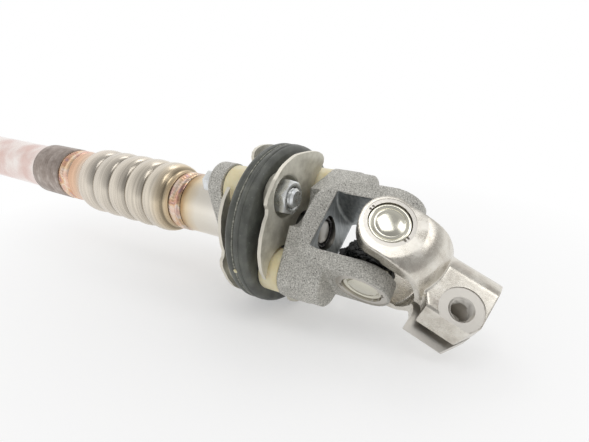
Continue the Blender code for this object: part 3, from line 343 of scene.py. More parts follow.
# %% Rubbers and nylon
tree, place = new_finish("coupling_rubber", "moulded_rubber", 0.5, 0.0, "#52544e")
cloud = add(tree, "TexNoise", {"Scale": per_metre(6.0), "Detail": 5.0}, {"Vector": place})
scuff = add(tree, "TexNoise", {"Scale": per_metre(1.1), "Detail": 6.0, "Roughness": 0.7}, {"Vector": place})
tint = add(tree, "ValToRGB", {"stops": [(0.3, "#484a45"), (0.6, "#60625c"), (0.8, "#76786f")]}, {"Fac": cloud})
worn = add(tree, "MapRange", {"From Min": 0.62, "From Max": 0.72}, {"Value": scuff})
add(tree, "Mix", {**MIX, 7: linear("#8f938b")}, {0: worn, 6: tint}, "Base Color")
add(tree, "MapRange", {"To Min": 0.3, "To Max": 0.5}, {"Value": scuff}, "Roughness")
add(tree, "Bump", {"Strength": 0.2, "Distance": 0.06 * MM}, {"Height": scuff}, "Normal")

tree, place = new_finish("mould_flash", "mould_flash", 0.7, 0.0, "#8d8f88")
speck = add(tree, "TexNoise", {"Scale": per_metre(1.0), "Detail": 5.0}, {"Vector": place})
add(tree, "ValToRGB", {"stops": [(0.35, "#666860"), (0.5, "#94958b"), (0.65, "#bab8aa")]}, {"Fac": speck},
    "Base Color")

tree, place = new_finish("greased_rubber", "greased_rubber", 0.16, 0.0, "#0d0d0d")
lump = add(tree, "TexNoise", {"Scale": per_metre(1.3), "Detail": 4.0}, {"Vector": place})
add(tree, "Bump", {"Strength": 1.0, "Distance": 0.5 * MM}, {"Height": lump}, "Normal")

tree, place = new_finish("natural_nylon", "natural_nylon", 0.4, 0.0, "#f0e5c0")
shader = tree.nodes["Principled BSDF"]
shader.inputs["Subsurface Weight"].default_value = 0.2
shader.inputs["Subsurface Radius"].default_value = (1.0, 0.7, 0.4)
shader.inputs["Subsurface Scale"].default_value = 1.5 * MM
cloud = add(tree, "TexNoise", {"Scale": per_metre(5.0), "Detail": 4.0}, {"Vector": place})
add(tree, "ValToRGB", {"stops": [(0.3, "#eadcae"), (0.7, "#f6edd0")]}, {"Fac": cloud}, "Base Color")
print("finishes in all:", len(FINISH))

# %% [markdown]
# ## Turning, extruding and cutting
# Most pieces were turned in a lathe, so a few points are spun round the shaft's axis. Flat ones start as an
# outline that is extruded. Cutters are cut away with a boolean, which also leaves their bright finish on the cut.

# %% Helpers for shapes
def mm(points):
    """Points written in millimetres, in metres."""
    return [(first * MM, second * MM) for first, second in points]


def both_sides(low, high):
    """The same range on the two sides of zero, lowest first."""
    return (-high, -low), (low, high)


def lathe(profile, steps=96, closed=False):
    """(station, radius) points spun about the x axis into a closed skin."""
    bm = bmesh.new()
    points = [bm.verts.new((station, 0.0, radius)) for station, radius in profile]
    pairs = list(zip(points, points[1:]))
    if closed:
        pairs.append((points[-1], points[0]))
    edges = [bm.edges.new(pair) for pair in pairs]
    bmesh.ops.spin(bm, geom=points + edges, cent=(0, 0, 0), axis=(1, 0, 0), angle=math.tau, steps=steps,
                   use_merge=True)
    bmesh.ops.remove_doubles(bm, verts=bm.verts, dist=0.002 * MM)
    bmesh.ops.recalc_face_normals(bm, faces=bm.faces)
    return bm


def prism(outline, low, high):
    """A flat outline, (y, z) points, extruded along x."""
    bm = bmesh.new()
    face = bm.faces.new([bm.verts.new((low, u, v)) for u, v in outline])
    grown = bmesh.ops.extrude_face_region(bm, geom=[face])["geom"]
    moved = [item for item in grown if isinstance(item, bmesh.types.BMVert)]
    bmesh.ops.translate(bm, vec=(high - low, 0, 0), verts=moved)
    bmesh.ops.recalc_face_normals(bm, faces=bm.faces)
    return bm


def box(low, high):
    """A block between two opposite corners."""
    bm = bmesh.new()
    low, high = Vector(low), Vector(high)
    bmesh.ops.create_cube(bm, size=1.0)
    bmesh.ops.scale(bm, vec=high - low, verts=bm.verts)
    bmesh.ops.translate(bm, vec=(low + high) / 2.0, verts=bm.verts)
    return bm


def placed(bm, axis="X", place=(0.0, 0.0, 0.0)):
    """The bmesh turned from the x axis onto another and moved."""
    bm.transform(Matrix.Translation(place) @ AXIS[axis])
    return bm


def rod(radius, low, high, axis="X", place=(0.0, 0.0, 0.0), steps=64):
    """A plain round bar between two stations on an axis."""
    return placed(lathe([(low, 0.0), (low, radius), (high, radius), (high, 0.0)], steps), axis, place)


def arc(centre, radius, start, end, steps):
    """Points on an arc, angles in degrees."""
    u, v = centre
    turns = [math.radians(start + (end - start) * i / steps) for i in range(steps + 1)]
    return [(u + radius * math.cos(a), v + radius * math.sin(a)) for a in turns]


def eared_outline(hub_r, ear_r, reach, steps=24):
    """A hub with two opposite round ears, joined by tangent sides."""
    lean = math.degrees(math.acos((hub_r - ear_r) / reach))
    return (arc((reach, 0.0), ear_r, -lean, lean, steps) + arc((0.0, 0.0), hub_r, lean, 180.0 - lean, steps)
            + arc((-reach, 0.0), ear_r, 180.0 - lean, 180.0 + lean, steps)
            + arc((0.0, 0.0), hub_r, 180.0 + lean, 360.0 - lean, steps))


def piece(name, bm, *finishes):
    """A mesh object that holds the bmesh, with one finish or more."""
    mesh = bpy.data.meshes.new(name)
    bm.to_mesh(mesh)
    bm.free()
    for finish in finishes:
        mesh.materials.append(FINISH[finish])
    obj = bpy.data.objects.new(name, mesh)
    bpy.context.scene.collection.objects.link(obj)
    return obj


def bake(obj):
    """Makes the modifiers' result the mesh itself."""
    bpy.context.view_layer.update()
    shape = obj.evaluated_get(bpy.context.evaluated_depsgraph_get())
    made = bpy.data.meshes.new_from_object(shape)
    obj.modifiers.clear()
    obj.data = made
    return obj


def carve(obj, tools, operation="DIFFERENCE", finish=None):
    """Cuts the tools from a piece or joins them to it; a finish stays on the faces that they leave."""
    helpers = []
    for number, tool in enumerate(tools):
        other = piece(f"{obj.name}_tool_{number}", tool, *([finish] if finish else []))
        step = obj.modifiers.new(other.name, "BOOLEAN")
        step.operation = operation
        step.solver = "EXACT"
        step.material_mode = "TRANSFER" if finish else "INDEX"
        step.object = other
        helpers.append(other)
    bake(obj)
    for other in helpers:
        bpy.data.objects.remove(other)
    return obj


def forge(obj, voxel=0.5 * MM, rounds=8):
    """A rough shape as a forging: an even skin of small faces, relaxed so that its edges turn round."""
    skin = obj.modifiers.new("skin", "REMESH")
    skin.mode = "VOXEL"
    skin.voxel_size = voxel
    relax = obj.modifiers.new("relax", "SMOOTH")
    relax.factor = 0.5
    relax.iterations = rounds
    return bake(obj)


def fit(obj, place, body, slot, *nodes, sharp=32.0):
    """Lays a finished piece in place: shaded by its angles, riding on its body and standing for its CAD nodes."""
    obj.data.transform(place)
    obj.data.shade_smooth()
    obj.data.set_sharp_from_angle(angle=math.radians(sharp))
    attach(obj, body)
    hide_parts(*nodes)
    faces = sum(len(p.vertices) - 2 for p in obj.data.polygons)
    print(f"{obj.name}: {faces} triangles on {body}")
    return obj


def around(bm, change):
    """Moves each point in or out from the x axis: change gets (station, radius, angle) and gives the new radius."""
    for vert in bm.verts:
        x, y, z = vert.co
        radius = math.hypot(y, z)
        if radius > 0.1 * MM:
            grown = change(x, radius, math.atan2(z, y)) / radius
            vert.co = Vector((x, y * grown, z * grown))
    return bm


def soft_step(value, low, high):
    """0 below low, 1 above high, and an easy curve between them."""
    t = min(max((value - low) / (high - low), 0.0), 1.0)
    return t * t * (3.0 - 2.0 * t)


# %% [markdown]
# ## The shaft line
# The stub is a lathe shape whose points are then pulled in between twenty-two teeth. The tube and the collar
# are plain turned rings with broken edges. Small chamfers matter: they catch the light that makes steel real.

# %% Column stub, tube and collar
TEETH, TOOTH_DEPTH = 22, 0.7 * MM


def toothed(station, radius, angle):
    """The splines: gaps pulled in between the teeth, as far as they run."""
    share = (angle / math.tau * TEETH) % 1.0
    gap = soft_step(share, 0.36, 0.48) * (1.0 - soft_step(share, 0.86, 0.98))
    run_out = 1.0 - soft_step(station, 30.2 * MM, 31.6 * MM)
    return min(radius, 10.0 * MM - TOOTH_DEPTH * gap) if run_out > 0.99 else radius


stub = lathe(mm([
    (0.0, 0.0), (0.0, 8.8), (1.2, 10.0), (13.5, 10.0), (15.2, 8.4), (18.8, 8.4), (20.5, 10.0), (28.0, 10.0),
    (30.0, 10.0), (31.4, 9.4), (32.0, 10.4), (33.8, 11.7), (35.0, 12.5), (39.7, 12.5), (40.0, 12.2), (40.0, 9.7),
    (55.4, 9.7), (56.0, 9.1), (56.0, 0.0)]), steps=TEETH * 8)
stub = piece("column_stub_turned", around(stub, toothed), "turned_steel")
fit(stub, LINE, "shaft", "turned_steel", "column_stub")

tube = lathe(mm([(40.3, 12.2), (40.6, 12.5), (155.7, 12.5), (156.0, 12.2), (156.0, 10.0), (40.3, 10.0)]),
             steps=128, closed=True)
fit(piece("upper_tube_drawn", tube, "drawn_tube"), LINE, "shaft", "drawn_tube", "upper_tube")

collar = lathe(mm([
    (131.0, 13.3), (131.15, 13.7), (131.5, 14.05), (132.2, 14.28), (133.0, 14.3), (155.5, 14.3), (155.85, 14.15),
    (156.0, 13.8), (156.0, 12.8), (131.0, 12.8)]), steps=128, closed=True)
fit(piece("collar_pressed", collar, "scaled_steel"), LINE, "shaft", "scaled_steel", "collar_sleeve")

# %% [markdown]
# ## Welds and bellows
# A ring weld is a double bead with tight ripples, one for each puddle, so its radius waves with the angle. The
# bellows was formed from one thin tube: wide round crests that meet in narrow valleys, which is a row of
# half ellipses. A faint seam runs along it where the strip was closed.

# %% Weld rings, bellows and lower tube
RIPPLES = 58


def bead_ring(start, length, inner, offset):
    """Two beads with a pinched waist between them, rippled round the tube."""
    waist, height, count = 13.55 * MM, 0.55 * MM, 26
    outer = []
    for i in range(count + 1):
        share = i / count
        local = share / 0.52 if share < 0.52 else (share - 0.52) / 0.48
        outer.append((start + share * length, waist + height * max(0.0, math.sin(math.pi * local)) ** 0.6))
    ring = lathe(outer + [(start + length, inner), (start, inner)], steps=RIPPLES * 6, closed=True)

    def ripple(station, radius, angle):
        if radius < 13.0 * MM:
            return radius
        share = (station - start) / length
        rise = math.sqrt(max(0.0, math.sin(math.pi * share)))
        wave = math.sin(angle * RIPPLES + 2.5 * math.cos(share * math.tau))
        drift = noise.noise(Vector((math.cos(angle) * 2.0, math.sin(angle) * 2.0, offset)))
        return radius + rise * (0.05 * wave + 0.12 * drift) * MM

    return around(ring, ripple)


for name, start, length, inner, offset in (
        ("upper_weld", 156.3 * MM, 8.7 * MM, 10.0 * MM, 1.0), ("lower_weld", 243.3 * MM, 7.4 * MM, 12.5 * MM, 6.0)):
    weld = piece(f"{name}_beads", bead_ring(start, length, inner, offset), "heat_tinted_weld")
    fit(weld, LINE, "shaft", "heat_tinted_weld", name)

CREST_X, PITCH, CRESTS = 176.9 * MM, 12.5 * MM, 5
VALLEY_R, CREST, WALL = 14.9 * MM, 2.35 * MM, 1.4 * MM


def bellows_line(drop, turns):
    """The crests as half ellipses, with a small flat in each valley."""
    line = []
    for crest in range(CRESTS):
        middle = CREST_X + (crest + 0.5) * PITCH
        for turn in turns:
            angle = math.radians(turn)
            line.append((middle - 0.5 * PITCH * math.cos(angle), VALLEY_R - drop + CREST * math.sin(angle)))
    return line


CREST_TURNS = (6, 12, 20, 30, 42, 56, 72, 90, 108, 124, 138, 150, 160, 168, 174)
skin = mm([(165.3, 13.7), (165.5, 13.9), (174.6, 13.9), (175.6, 14.1), (176.3, 14.6)])
skin += bellows_line(0.0, CREST_TURNS)
skin += mm([(239.9, 14.6), (240.5, 14.1), (241.3, 13.9), (242.8, 13.9), (243.0, 13.7)])
lining = mm([(165.3, 12.5), (176.4, 12.5)]) + bellows_line(WALL, (30, 60, 90, 120, 150))
lining += mm([(239.9, 12.5), (243.0, 12.5)])


def seamed(station, radius, angle):
    """A shallow furrow along the tube where the strip was closed."""
    away = abs(angle - math.radians(-88.0 + ROLL))
    return radius - 0.1 * MM * (1.0 - soft_step(away, 0.0, math.radians(1.6)))


bellows = around(lathe(skin + lining[::-1], steps=192, closed=True), seamed)
bellows = piece("bellows_formed", bellows, "bellows_steel")
fit(bellows, LINE, "shaft", "bellows_steel", "bellows_tube", sharp=40.0)

lower = lathe(mm([(251.0, 13.4), (251.2, 13.6), (284.3, 13.6), (284.6, 13.3), (284.6, 11.0), (251.0, 11.0)]),
              steps=128, closed=True)
fit(piece("lower_tube_drawn", lower, "tinted_tube"), LINE, "shaft", "drawn_tube", "lower_tube")

# %% [markdown]
# ## The rubber disc
# The disc was moulded in two halves, so a thin ragged line of flash runs round its groove. Its faces are flat and
# bored for the four steel sleeves. The flash is a narrow ring of its own whose radius is torn with a noise.

# %% Rubber disc with its mould line
CIRCLE_R = 21.5 * MM
BOLT = {"up": Vector((0, 0, CIRCLE_R)), "down": Vector((0, 0, -CIRCLE_R)), "left": Vector((0, CIRCLE_R, 0)),
        "right": Vector((0, -CIRCLE_R, 0))}
disc = lathe(mm([
    (-5.2, 32.0), (-4.95, 32.7), (-4.5, 33.4), (-3.8, 34.0), (-3.0, 34.25), (-2.2, 34.2), (-1.5, 33.9),
    (-1.15, 33.5), (-0.75, 33.4), (-0.45, 33.75), (0.1, 34.05), (0.8, 34.25), (1.5, 34.28), (2.0, 34.1),
    (2.3, 33.75), (2.6, 33.95), (3.0, 34.1), (3.6, 33.95), (4.2, 33.6), (4.7, 33.1), (5.05, 32.5), (5.2, 32.0),
    (5.2, 9.3), (4.9, 9.0), (-4.9, 9.0), (-5.2, 9.3)]), steps=192, closed=True)
disc = piece("coupling_disc", disc, "coupling_rubber")
carve(disc, [rod(6.3 * MM, -7 * MM, 7 * MM, place=bolt) for bolt in BOLT.values()])
fit(disc, COUPLING, "shaft", "coupling_rubber", "coupling_rubber")


def torn(station, radius, angle):
    """The flash's ragged edge: a slow noise and a fine one round the rim."""
    if radius < 33.3 * MM:
        return radius
    rag = noise.noise(Vector((math.cos(angle) * 9.0, math.sin(angle) * 9.0, 3.0)))
    fine = noise.noise(Vector((math.cos(angle) * 40.0, math.sin(angle) * 40.0, 5.0)))
    return radius + (0.16 * rag + 0.12 * fine) * MM


flash = lathe(mm([(-1.3, 33.0), (-1.2, 33.85), (-0.95, 34.05), (-0.65, 33.85), (-0.6, 33.0)]), steps=720,
              closed=True)
fit(piece("mould_line", around(flash, torn), "mould_flash"), COUPLING, "shaft", "coupling_rubber")

# %% [markdown]
# ## Sleeves, bushes, studs and nuts
# They come in fours, so each kind is described once and laid on the bolt circle in a loop. The threads are real:
# the skin of the stud moves in and out with the angle and the station, one turn for each pitch.

# %% Threads and the four sets of small parts
PITCH_M8, CREST_M8, ROOT_M8 = 1.25 * MM, 4.0 * MM, 3.4 * MM
THREAD_START, STUD_END, NUT_SEAT, NUT_HEIGHT = 5.4 * MM, 15.6 * MM, 7.4 * MM, 6.6 * MM
NUT_FLATS, STUD_FLATS, HEX_BACK, HEX_LENGTH, HEX_EDGE = 13.0 * MM, 8.6 * MM, -22.5 * MM, 7.5 * MM, 0.5 * MM


def threaded(start, end, crest, root):
    """Gives a function that cuts a screw thread between two stations."""
    def cut(station, radius, angle):
        if not (start <= station <= end) or radius < root - 0.3 * MM:
            return radius
        share = (station / PITCH_M8 - angle / math.tau) % 1.0
        tooth = 1.0 - abs(2.0 * share - 1.0)
        fade = soft_step(min(station - start, end - station), 0.0, 0.6 * MM)
        return min(radius, crest - (crest - root) * fade * (1.0 - soft_step(tooth, 0.12, 0.88)))
    return cut


def fine(start, end, radius, step=0.16 * MM):
    """A straight run of points close enough together to hold a thread."""
    count = max(2, round((end - start) / step))
    return [(start + (end - start) * i / count, radius) for i in range(count + 1)]


def stud_shape(root):
    """A stud from the points of its plain root, in millimetres, to its threaded end."""
    line = mm(root) + [(THREAD_START, CREST_M8)] + fine(THREAD_START + 0.1 * MM, STUD_END - 0.8 * MM, CREST_M8)
    line += [(STUD_END - 0.2 * MM, 3.3 * MM), (STUD_END, 3.0 * MM), (STUD_END, 0.0)]
    return around(lathe(line, 48), threaded(THREAD_START, STUD_END, CREST_M8, ROOT_M8))


def hexagon(across_flats):
    """The six corners of a nut or a bolt's head."""
    return arc((0.0, 0.0), across_flats / math.sqrt(3.0), 0.0, 300.0, 5)


TURNED_OVER = Matrix.Rotation(math.pi, 4, "Z")
SETS = (
    ("shaft_upper", "up", "shaft", LINE), ("shaft_lower", "down", "shaft", LINE),
    ("yoke_far", "left", "flange_yoke", TURNED_OVER), ("yoke_near", "right", "flange_yoke", TURNED_OVER))
for name, way, body, turn in SETS:
    seat = COUPLING @ Matrix.Translation(BOLT[way]) @ turn
    sleeve = lathe(mm([
        (-14.7, 5.8), (-14.5, 6.0), (5.0, 6.0), (5.2, 5.8), (5.2, 4.3), (-14.7, 4.3)]), 64, closed=True)
    fit(piece(f"{name}_sleeve_turned", sleeve, "turned_steel"), seat, body, "turned_steel", f"{name}_sleeve")
    bush = lathe(mm([
        (-14.7, 8.4), (-14.5, 8.75), (-14.1, 9.0), (-6.1, 9.0), (-5.7, 8.8), (-5.5, 8.4), (-5.5, 6.3),
        (-14.7, 6.3)]), 96, closed=True)
    fit(piece(f"{name}_bush_moulded", bush, "natural_nylon"), seat, body, "natural_nylon", f"{name}_bush")
    nut = prism(hexagon(NUT_FLATS), NUT_SEAT, NUT_SEAT + NUT_HEIGHT)
    nut = piece(f"{name}_nut_formed", nut, "plated_fastener")
    crown = lathe(mm([
        (7.3, 0.0), (7.3, 6.6), (8.0, 7.6), (12.6, 7.6), (13.3, 7.0), (13.8, 6.3), (14.1, 5.7), (14.1, 0.0)]), 96)
    carve(nut, [crown], "INTERSECT")
    mouth = lathe(mm([
        (6.4, 0.0), (6.4, 5.0), (7.4, 4.9), (8.0, 4.3), (13.3, 4.3), (14.0, 5.0), (15.0, 6.0), (15.0, 0.0)]), 64)
    carve(nut, [mouth])
    fit(nut, seat, body, "plated_fastener", f"{name}_nut", sharp=24.0)

for name, way, body, turn in SETS:
    seat = COUPLING @ Matrix.Translation(BOLT[way]) @ turn
    if body == "shaft":
        stud = piece(f"{name}_stud_threaded", stud_shape([(-23.5, 0.0), (-23.5, 4.0)]), "plated_fastener")
        head = prism(hexagon(STUD_FLATS), HEX_BACK - HEX_LENGTH, HEX_BACK)
        bmesh.ops.bevel(head, geom=head.edges[:], offset=HEX_EDGE, segments=3, profile=0.5, affect="EDGES",
                        material=-1)
        carve(stud, [head], "UNION")
    else:
        root = [(-29.5, 0.0), (-29.5, 4.3), (-29.0, 4.8), (-19.0, 4.8), (-19.0, 4.0)]
        stud = piece(f"{name}_stud_threaded", stud_shape(root), "plated_fastener")
    fit(stud, seat, body, "plated_fastener", f"{name}_stud")
print("small parts: 4 sleeves, 4 bushes, 4 nuts, 4 studs")

# %% [markdown]
# ## Catch plates
# Each plate is stamped from sheet and stands off the rubber. Its outline changes on the way round: a narrow wing,
# a step outwards at the nut, then a wide lobe that is bent up a little. A cup is pressed down to a seat under each
# nut. A polar net of small faces makes the sheet, because its points can follow the outline and the bend.

# %% Two catch plates
SEAT, LIFT, SHEET, BORE_R, CUP_OUT, NET_R = 5.5 * MM, 3.8 * MM, 1.6 * MM, 7.6 * MM, 9.7 * MM, 30.0 * MM
PLATE_EDGE = (
    (-90.0, 30.2), (-79.0, 30.6), (-68.0, 31.2), (-57.0, 31.0), (-46.0, 30.3), (-34.0, 29.5), (-26.0, 28.9),
    (-22.5, 29.6), (-19.0, 31.6), (-15.0, 32.2), (-8.0, 32.3), (0.0, 32.8), (10.0, 33.2), (22.0, 33.0),
    (36.0, 32.8), (50.0, 32.6), (57.0, 32.2), (61.0, 31.4), (64.0, 29.8), (66.0, 27.0), (68.0, 22.0), (90.0, 22.0))


def plate_radius(side):
    """How far the outline reaches at an angle from the middle of a lobe, eased between the listed points."""
    for (low, first), (high, last) in zip(PLATE_EDGE, PLATE_EDGE[1:]):
        if side <= high:
            return (first + (last - first) * soft_step(side, low, high)) * MM
    return PLATE_EDGE[-1][1] * MM


def catch_plate(name, place, body, node):
    """One plate: a polar net drawn out to the outline and bent, then given its wall, holes and two cups."""
    bm = bmesh.new()
    rings = 14
    line = [bm.verts.new((0, 0, BORE_R + (NET_R - BORE_R) * i / rings)) for i in range(rings + 1)]
    edges = [bm.edges.new(pair) for pair in zip(line, line[1:])]
    bmesh.ops.spin(bm, geom=line + edges, cent=(0, 0, 0), axis=(1, 0, 0), angle=math.tau, steps=360,
                   use_merge=True)
    for vert in bm.verts:
        _, y, z = vert.co
        radius = math.hypot(y, z)
        angle = math.degrees(math.atan2(y, z))
        side = angle if abs(angle) <= 90.0 else angle - math.copysign(180.0, angle)
        share = (radius - BORE_R) / (NET_R - BORE_R)
        grown = BORE_R + (plate_radius(side) - BORE_R) * share
        bend = 1.7 * MM * soft_step(side, 26.0, 40.0) * soft_step(grown, 24.0 * MM, 32.0 * MM)
        vert.co = Vector((SEAT + LIFT + bend, y * grown / radius, z * grown / radius))
    bmesh.ops.recalc_face_normals(bm, faces=bm.faces)
    if sum(face.normal.x for face in bm.faces) < 0:
        bmesh.ops.reverse_faces(bm, faces=bm.faces)
    plate = piece(name, bm, "plated_sheet", "sheared_edge")
    wall = plate.modifiers.new("sheet", "SOLIDIFY")
    wall.thickness, wall.offset, wall.material_offset_rim = SHEET, 1.0, 1
    bake(plate)
    for radius, ways, finish in ((10.5 * MM, ("left", "right"), "sheared_edge"), (9.1 * MM, ("up", "down"), None)):
        carve(plate, [rod(radius, 5 * MM, 20 * MM, place=BOLT[way], steps=96) for way in ways], finish=finish)
    top = SEAT + LIFT + SHEET + 0.01 * MM
    cup = [(SEAT, 4.3 * MM), (SEAT, 8.2 * MM), (SEAT + 0.4 * MM, 9.1 * MM), (SEAT + 1.2 * MM, CUP_OUT),
           (top, CUP_OUT), (top, 9.25 * MM), (top - 0.15 * MM, 8.85 * MM), (top - 0.5 * MM, 8.5 * MM),
           (SEAT + 2.6 * MM, 8.3 * MM), (SEAT + 1.9 * MM, 8.0 * MM), (SEAT + SHEET, 7.6 * MM),
           (SEAT + SHEET, 4.3 * MM)]
    carve(plate, [placed(lathe(cup, 96, closed=True), place=BOLT[way]) for way in ("up", "down")], "UNION")
    edge = plate.modifiers.new("edge", "BEVEL")
    edge.width, edge.segments, edge.angle_limit = 0.22 * MM, 2, math.radians(60.0)
    fit(bake(plate), place, body, "plated_sheet", node, sharp=40.0)


QUARTER = TURNED_OVER @ Matrix.Rotation(math.pi / 2.0, 4, "X")
catch_plate("yoke_side_plate_pressed", COUPLING, "shaft", "yoke_side_plate")
catch_plate("shaft_side_plate_pressed", COUPLING @ QUARTER, "flange_yoke", "shaft_side_plate")

# %% [markdown]
# ## Forged, then machined
# The flange, its yoke and the clamp were hammered in a die, and only their bores and faces were cut later. They are
# made the same way here: a rough shape is remeshed and relaxed until its edges are round as a forging's are, and
# then crisp cutters with a bright finish make the bores, seats and faces.

# %% Shaft flange and centring pin
FLANGE_FACE, FLANGE_BACK, EAR_R = 15.0 * MM, 22.2 * MM, 9.6 * MM


def ball(radius, half, axis="X", place=(0.0, 0.0, 0.0), steps=64, rows=24):
    """The part of a ball between two planes square to the axis."""
    stations = [-half + 2.0 * half * i / rows for i in range(rows + 1)]
    line = [(-half, 0.0)] + [(s, math.sqrt(radius * radius - s * s)) for s in stations] + [(half, 0.0)]
    return placed(lathe(line, steps), axis, place)


upright = [(v, u) for u, v in reversed(eared_outline(17.0 * MM, EAR_R, CIRCLE_R))]
flange = piece("shaft_flange_forged", prism(upright, -FLANGE_BACK, -FLANGE_FACE), "blasted_forging", "machined_cut")
forge(flange, 0.4 * MM, 6)
cuts = [rod(13.9 * MM, -30 * MM, -5 * MM, steps=96)]
cuts += [rod(4.3 * MM, -30 * MM, -5 * MM, place=BOLT[way]) for way in ("up", "down")]
carve(flange, cuts, finish="machined_cut")
fit(flange, COUPLING, "shaft", "blasted_forging", "shaft_flange")

pin = lathe(mm([
    (-29.3, 0.0), (-29.3, 10.2), (-28.8, 10.7), (-15.8, 10.7), (-15.3, 10.2), (-15.3, 5.7), (-14.8, 5.2),
    (19.9, 5.2), (20.4, 4.7), (20.5, 4.2), (20.5, 0.0)]), 96)
fit(piece("centering_pin_turned", pin, "turned_steel"), COUPLING, "shaft", "turned_steel", "centering_pin")
ring = lathe(mm([
    (15.5, 6.8), (15.7, 7.0), (20.1, 7.0), (20.6, 6.7), (20.9, 6.2), (20.8, 5.6), (20.3, 5.3), (15.5, 5.3)]), 144,
    closed=True)


def ragged(station, radius, angle):
    """The lip of the greasy bush, torn and lumpy round the pin."""
    if station < 20.2 * MM:
        return radius
    return radius + 0.5 * MM * noise.noise(Vector((math.cos(angle) * 3.0, math.sin(angle) * 3.0, station / MM)))


around(ring, ragged)
fit(piece("centering_bush_moulded", ring, "greased_rubber"), COUPLING, "flange_yoke", "greased_rubber",
    "centering_bush")

# %% [markdown]
# ## Flange yoke
# Hub, ears and arms are joined, and a roof-shaped cutter slopes the base's two sides in towards the throat. The
# throat is a round bar's worth of metal less, square to the shaft. Its walls get the die's finish by their place.

# %% Flange yoke
YOKE_BASE_END, YOKE_EAR_END, HUB_R, BOSS_R = 27.3 * MM, 33.4 * MM, 19.0 * MM, 9.2 * MM
ARM_HALF, ARM_ROOT, ARM_INSIDE, ARM_OUTSIDE = 11.3 * MM, 21.3 * MM, 13.4 * MM, 20.6 * MM
CUP_BORE_R, THROAT_R, POCKET_R, BUSH_SEAT_R, SKIN = 8.07 * MM, 24.6 * MM, 10.6 * MM, 7.3 * MM, 0.2 * MM
CUP_AXIS = (JOINT_X, 0, 0)

hub = prism(eared_outline(HUB_R, EAR_R, CIRCLE_R), FLANGE_FACE, YOKE_BASE_END)
yoke = piece("flange_yoke_forged", hub, "blasted_forging", "machined_cut", "die_wall")
arm = arc((0.0, JOINT_X), ARM_HALF, 180.0, 0.0, 48) + [(ARM_HALF, ARM_ROOT), (-ARM_HALF, ARM_ROOT)]
joined = []
for reach, sides in zip((-CIRCLE_R, CIRCLE_R), both_sides(ARM_INSIDE, ARM_OUTSIDE)):
    joined.append(prism(arc((reach, 0.0), BOSS_R, 0.0, 354.0, 59), ARM_ROOT, YOKE_EAR_END))
    joined.append(placed(prism(arm, *sides), "Y"))
carve(yoke, joined, "UNION")
slope = [(20.0, 14.0), (20.0, 18.4), (12.4, 24.6), (11.6, 28.0), (11.6, 60.0)]
roof = mm(slope + [(-z, x) for z, x in reversed(slope)])
carve(yoke, [placed(prism(roof, -32 * MM, 32 * MM), "Y")], "INTERSECT")
carve(yoke, [rod(POCKET_R, 10 * MM, FLANGE_FACE + 4.6 * MM, place=BOLT[way]) for way in ("up", "down")])
carve(yoke, [rod(THROAT_R, -ARM_INSIDE, ARM_INSIDE, "Y", CUP_AXIS, 128)])
forge(yoke, 0.5 * MM, 4)
for face in yoke.data.polygons:
    reach = math.hypot(face.center.x - JOINT_X, face.center.z)
    if abs(face.center.y) < ARM_INSIDE + SKIN and reach < THROAT_R + SKIN:
        face.material_index = 2
cuts = [rod(CUP_BORE_R, -30 * MM, 30 * MM, "Y", CUP_AXIS, 96), rod(BUSH_SEAT_R, 10 * MM, JOINT_X)]
for way in ("left", "right"):
    stepped = mm([(14.0, 0.0), (14.0, 4.3), (18.7, 4.3), (18.7, 5.1), (29.8, 5.1), (29.8, 0.0)])
    cuts.append(placed(lathe(stepped, 64), place=BOLT[way]))


def stakes(axis, outside, centre, angles):
    """Punch marks round a cup's bore: small blunt dents in pairs that squeeze the metal over the cup."""
    dents = []
    for low, high in both_sides(outside - 0.9 * MM, outside + 2.0 * MM):
        for angle in angles:
            along, up = math.cos(math.radians(angle)), math.sin(math.radians(angle))
            across = Vector((along, 0, up) if axis == "Y" else (along, up, 0))
            dents.append(rod(0.52 * MM, low, high, axis, Vector(centre) + across * 8.55 * MM, 12))
    return dents


for low, high in both_sides(ARM_OUTSIDE - 0.25 * MM, ARM_OUTSIDE + 3.0 * MM):
    cuts.append(rod(10.4 * MM, low, high, "Y", CUP_AXIS, 96))
cuts += stakes("Y", ARM_OUTSIDE, CUP_AXIS, (-4.0, 4.0, 176.0, 184.0))
carve(yoke, cuts, finish="machined_cut")
fit(yoke, COUPLING, "flange_yoke", "blasted_forging", "flange_yoke")

# %% [markdown]
# ## Cross, seals and bearing cups
# The cross is ground steel, and mostly hidden. Rubber seals shut the cups, smeared with grease that has picked up
# lumps, so the seals' outsides are pushed about by a noise, and balls stretched by one are the lumps. A cup is
# drawn from sheet, and its end is pressed into a dome inside a shallow ring.

# %% Cross, greasy seals and polished cups
FLIP = Matrix.Rotation(math.pi, 4, "X")
half = [(8.0, 7.0), (8.6, 6.4), (8.6, 5.0), (17.0, 5.0), (17.6, 4.4), (17.6, 0.0)]
whole = mm([(-x, r) for x, r in reversed(half)] + half)
cross = piece("cross_ground", placed(lathe(whole, 64), "Y"), "ground_steel")
carve(cross, [placed(lathe(whole, 64), "Z")], "UNION")
fit(cross, JOINT, "cross", "ground_steel", "cross")


def smeared(seed, depth):
    """Gives a function that pushes a seal's outside about by a noise."""
    def push(station, radius, angle):
        if radius < 6.5 * MM:
            return radius
        point = Vector((station / MM * 0.55, math.cos(angle) * 4.5, math.sin(angle) * 4.5 + seed))
        return radius + depth * (noise.noise(point) + 0.5 * noise.noise(point * 2.3))
    return push


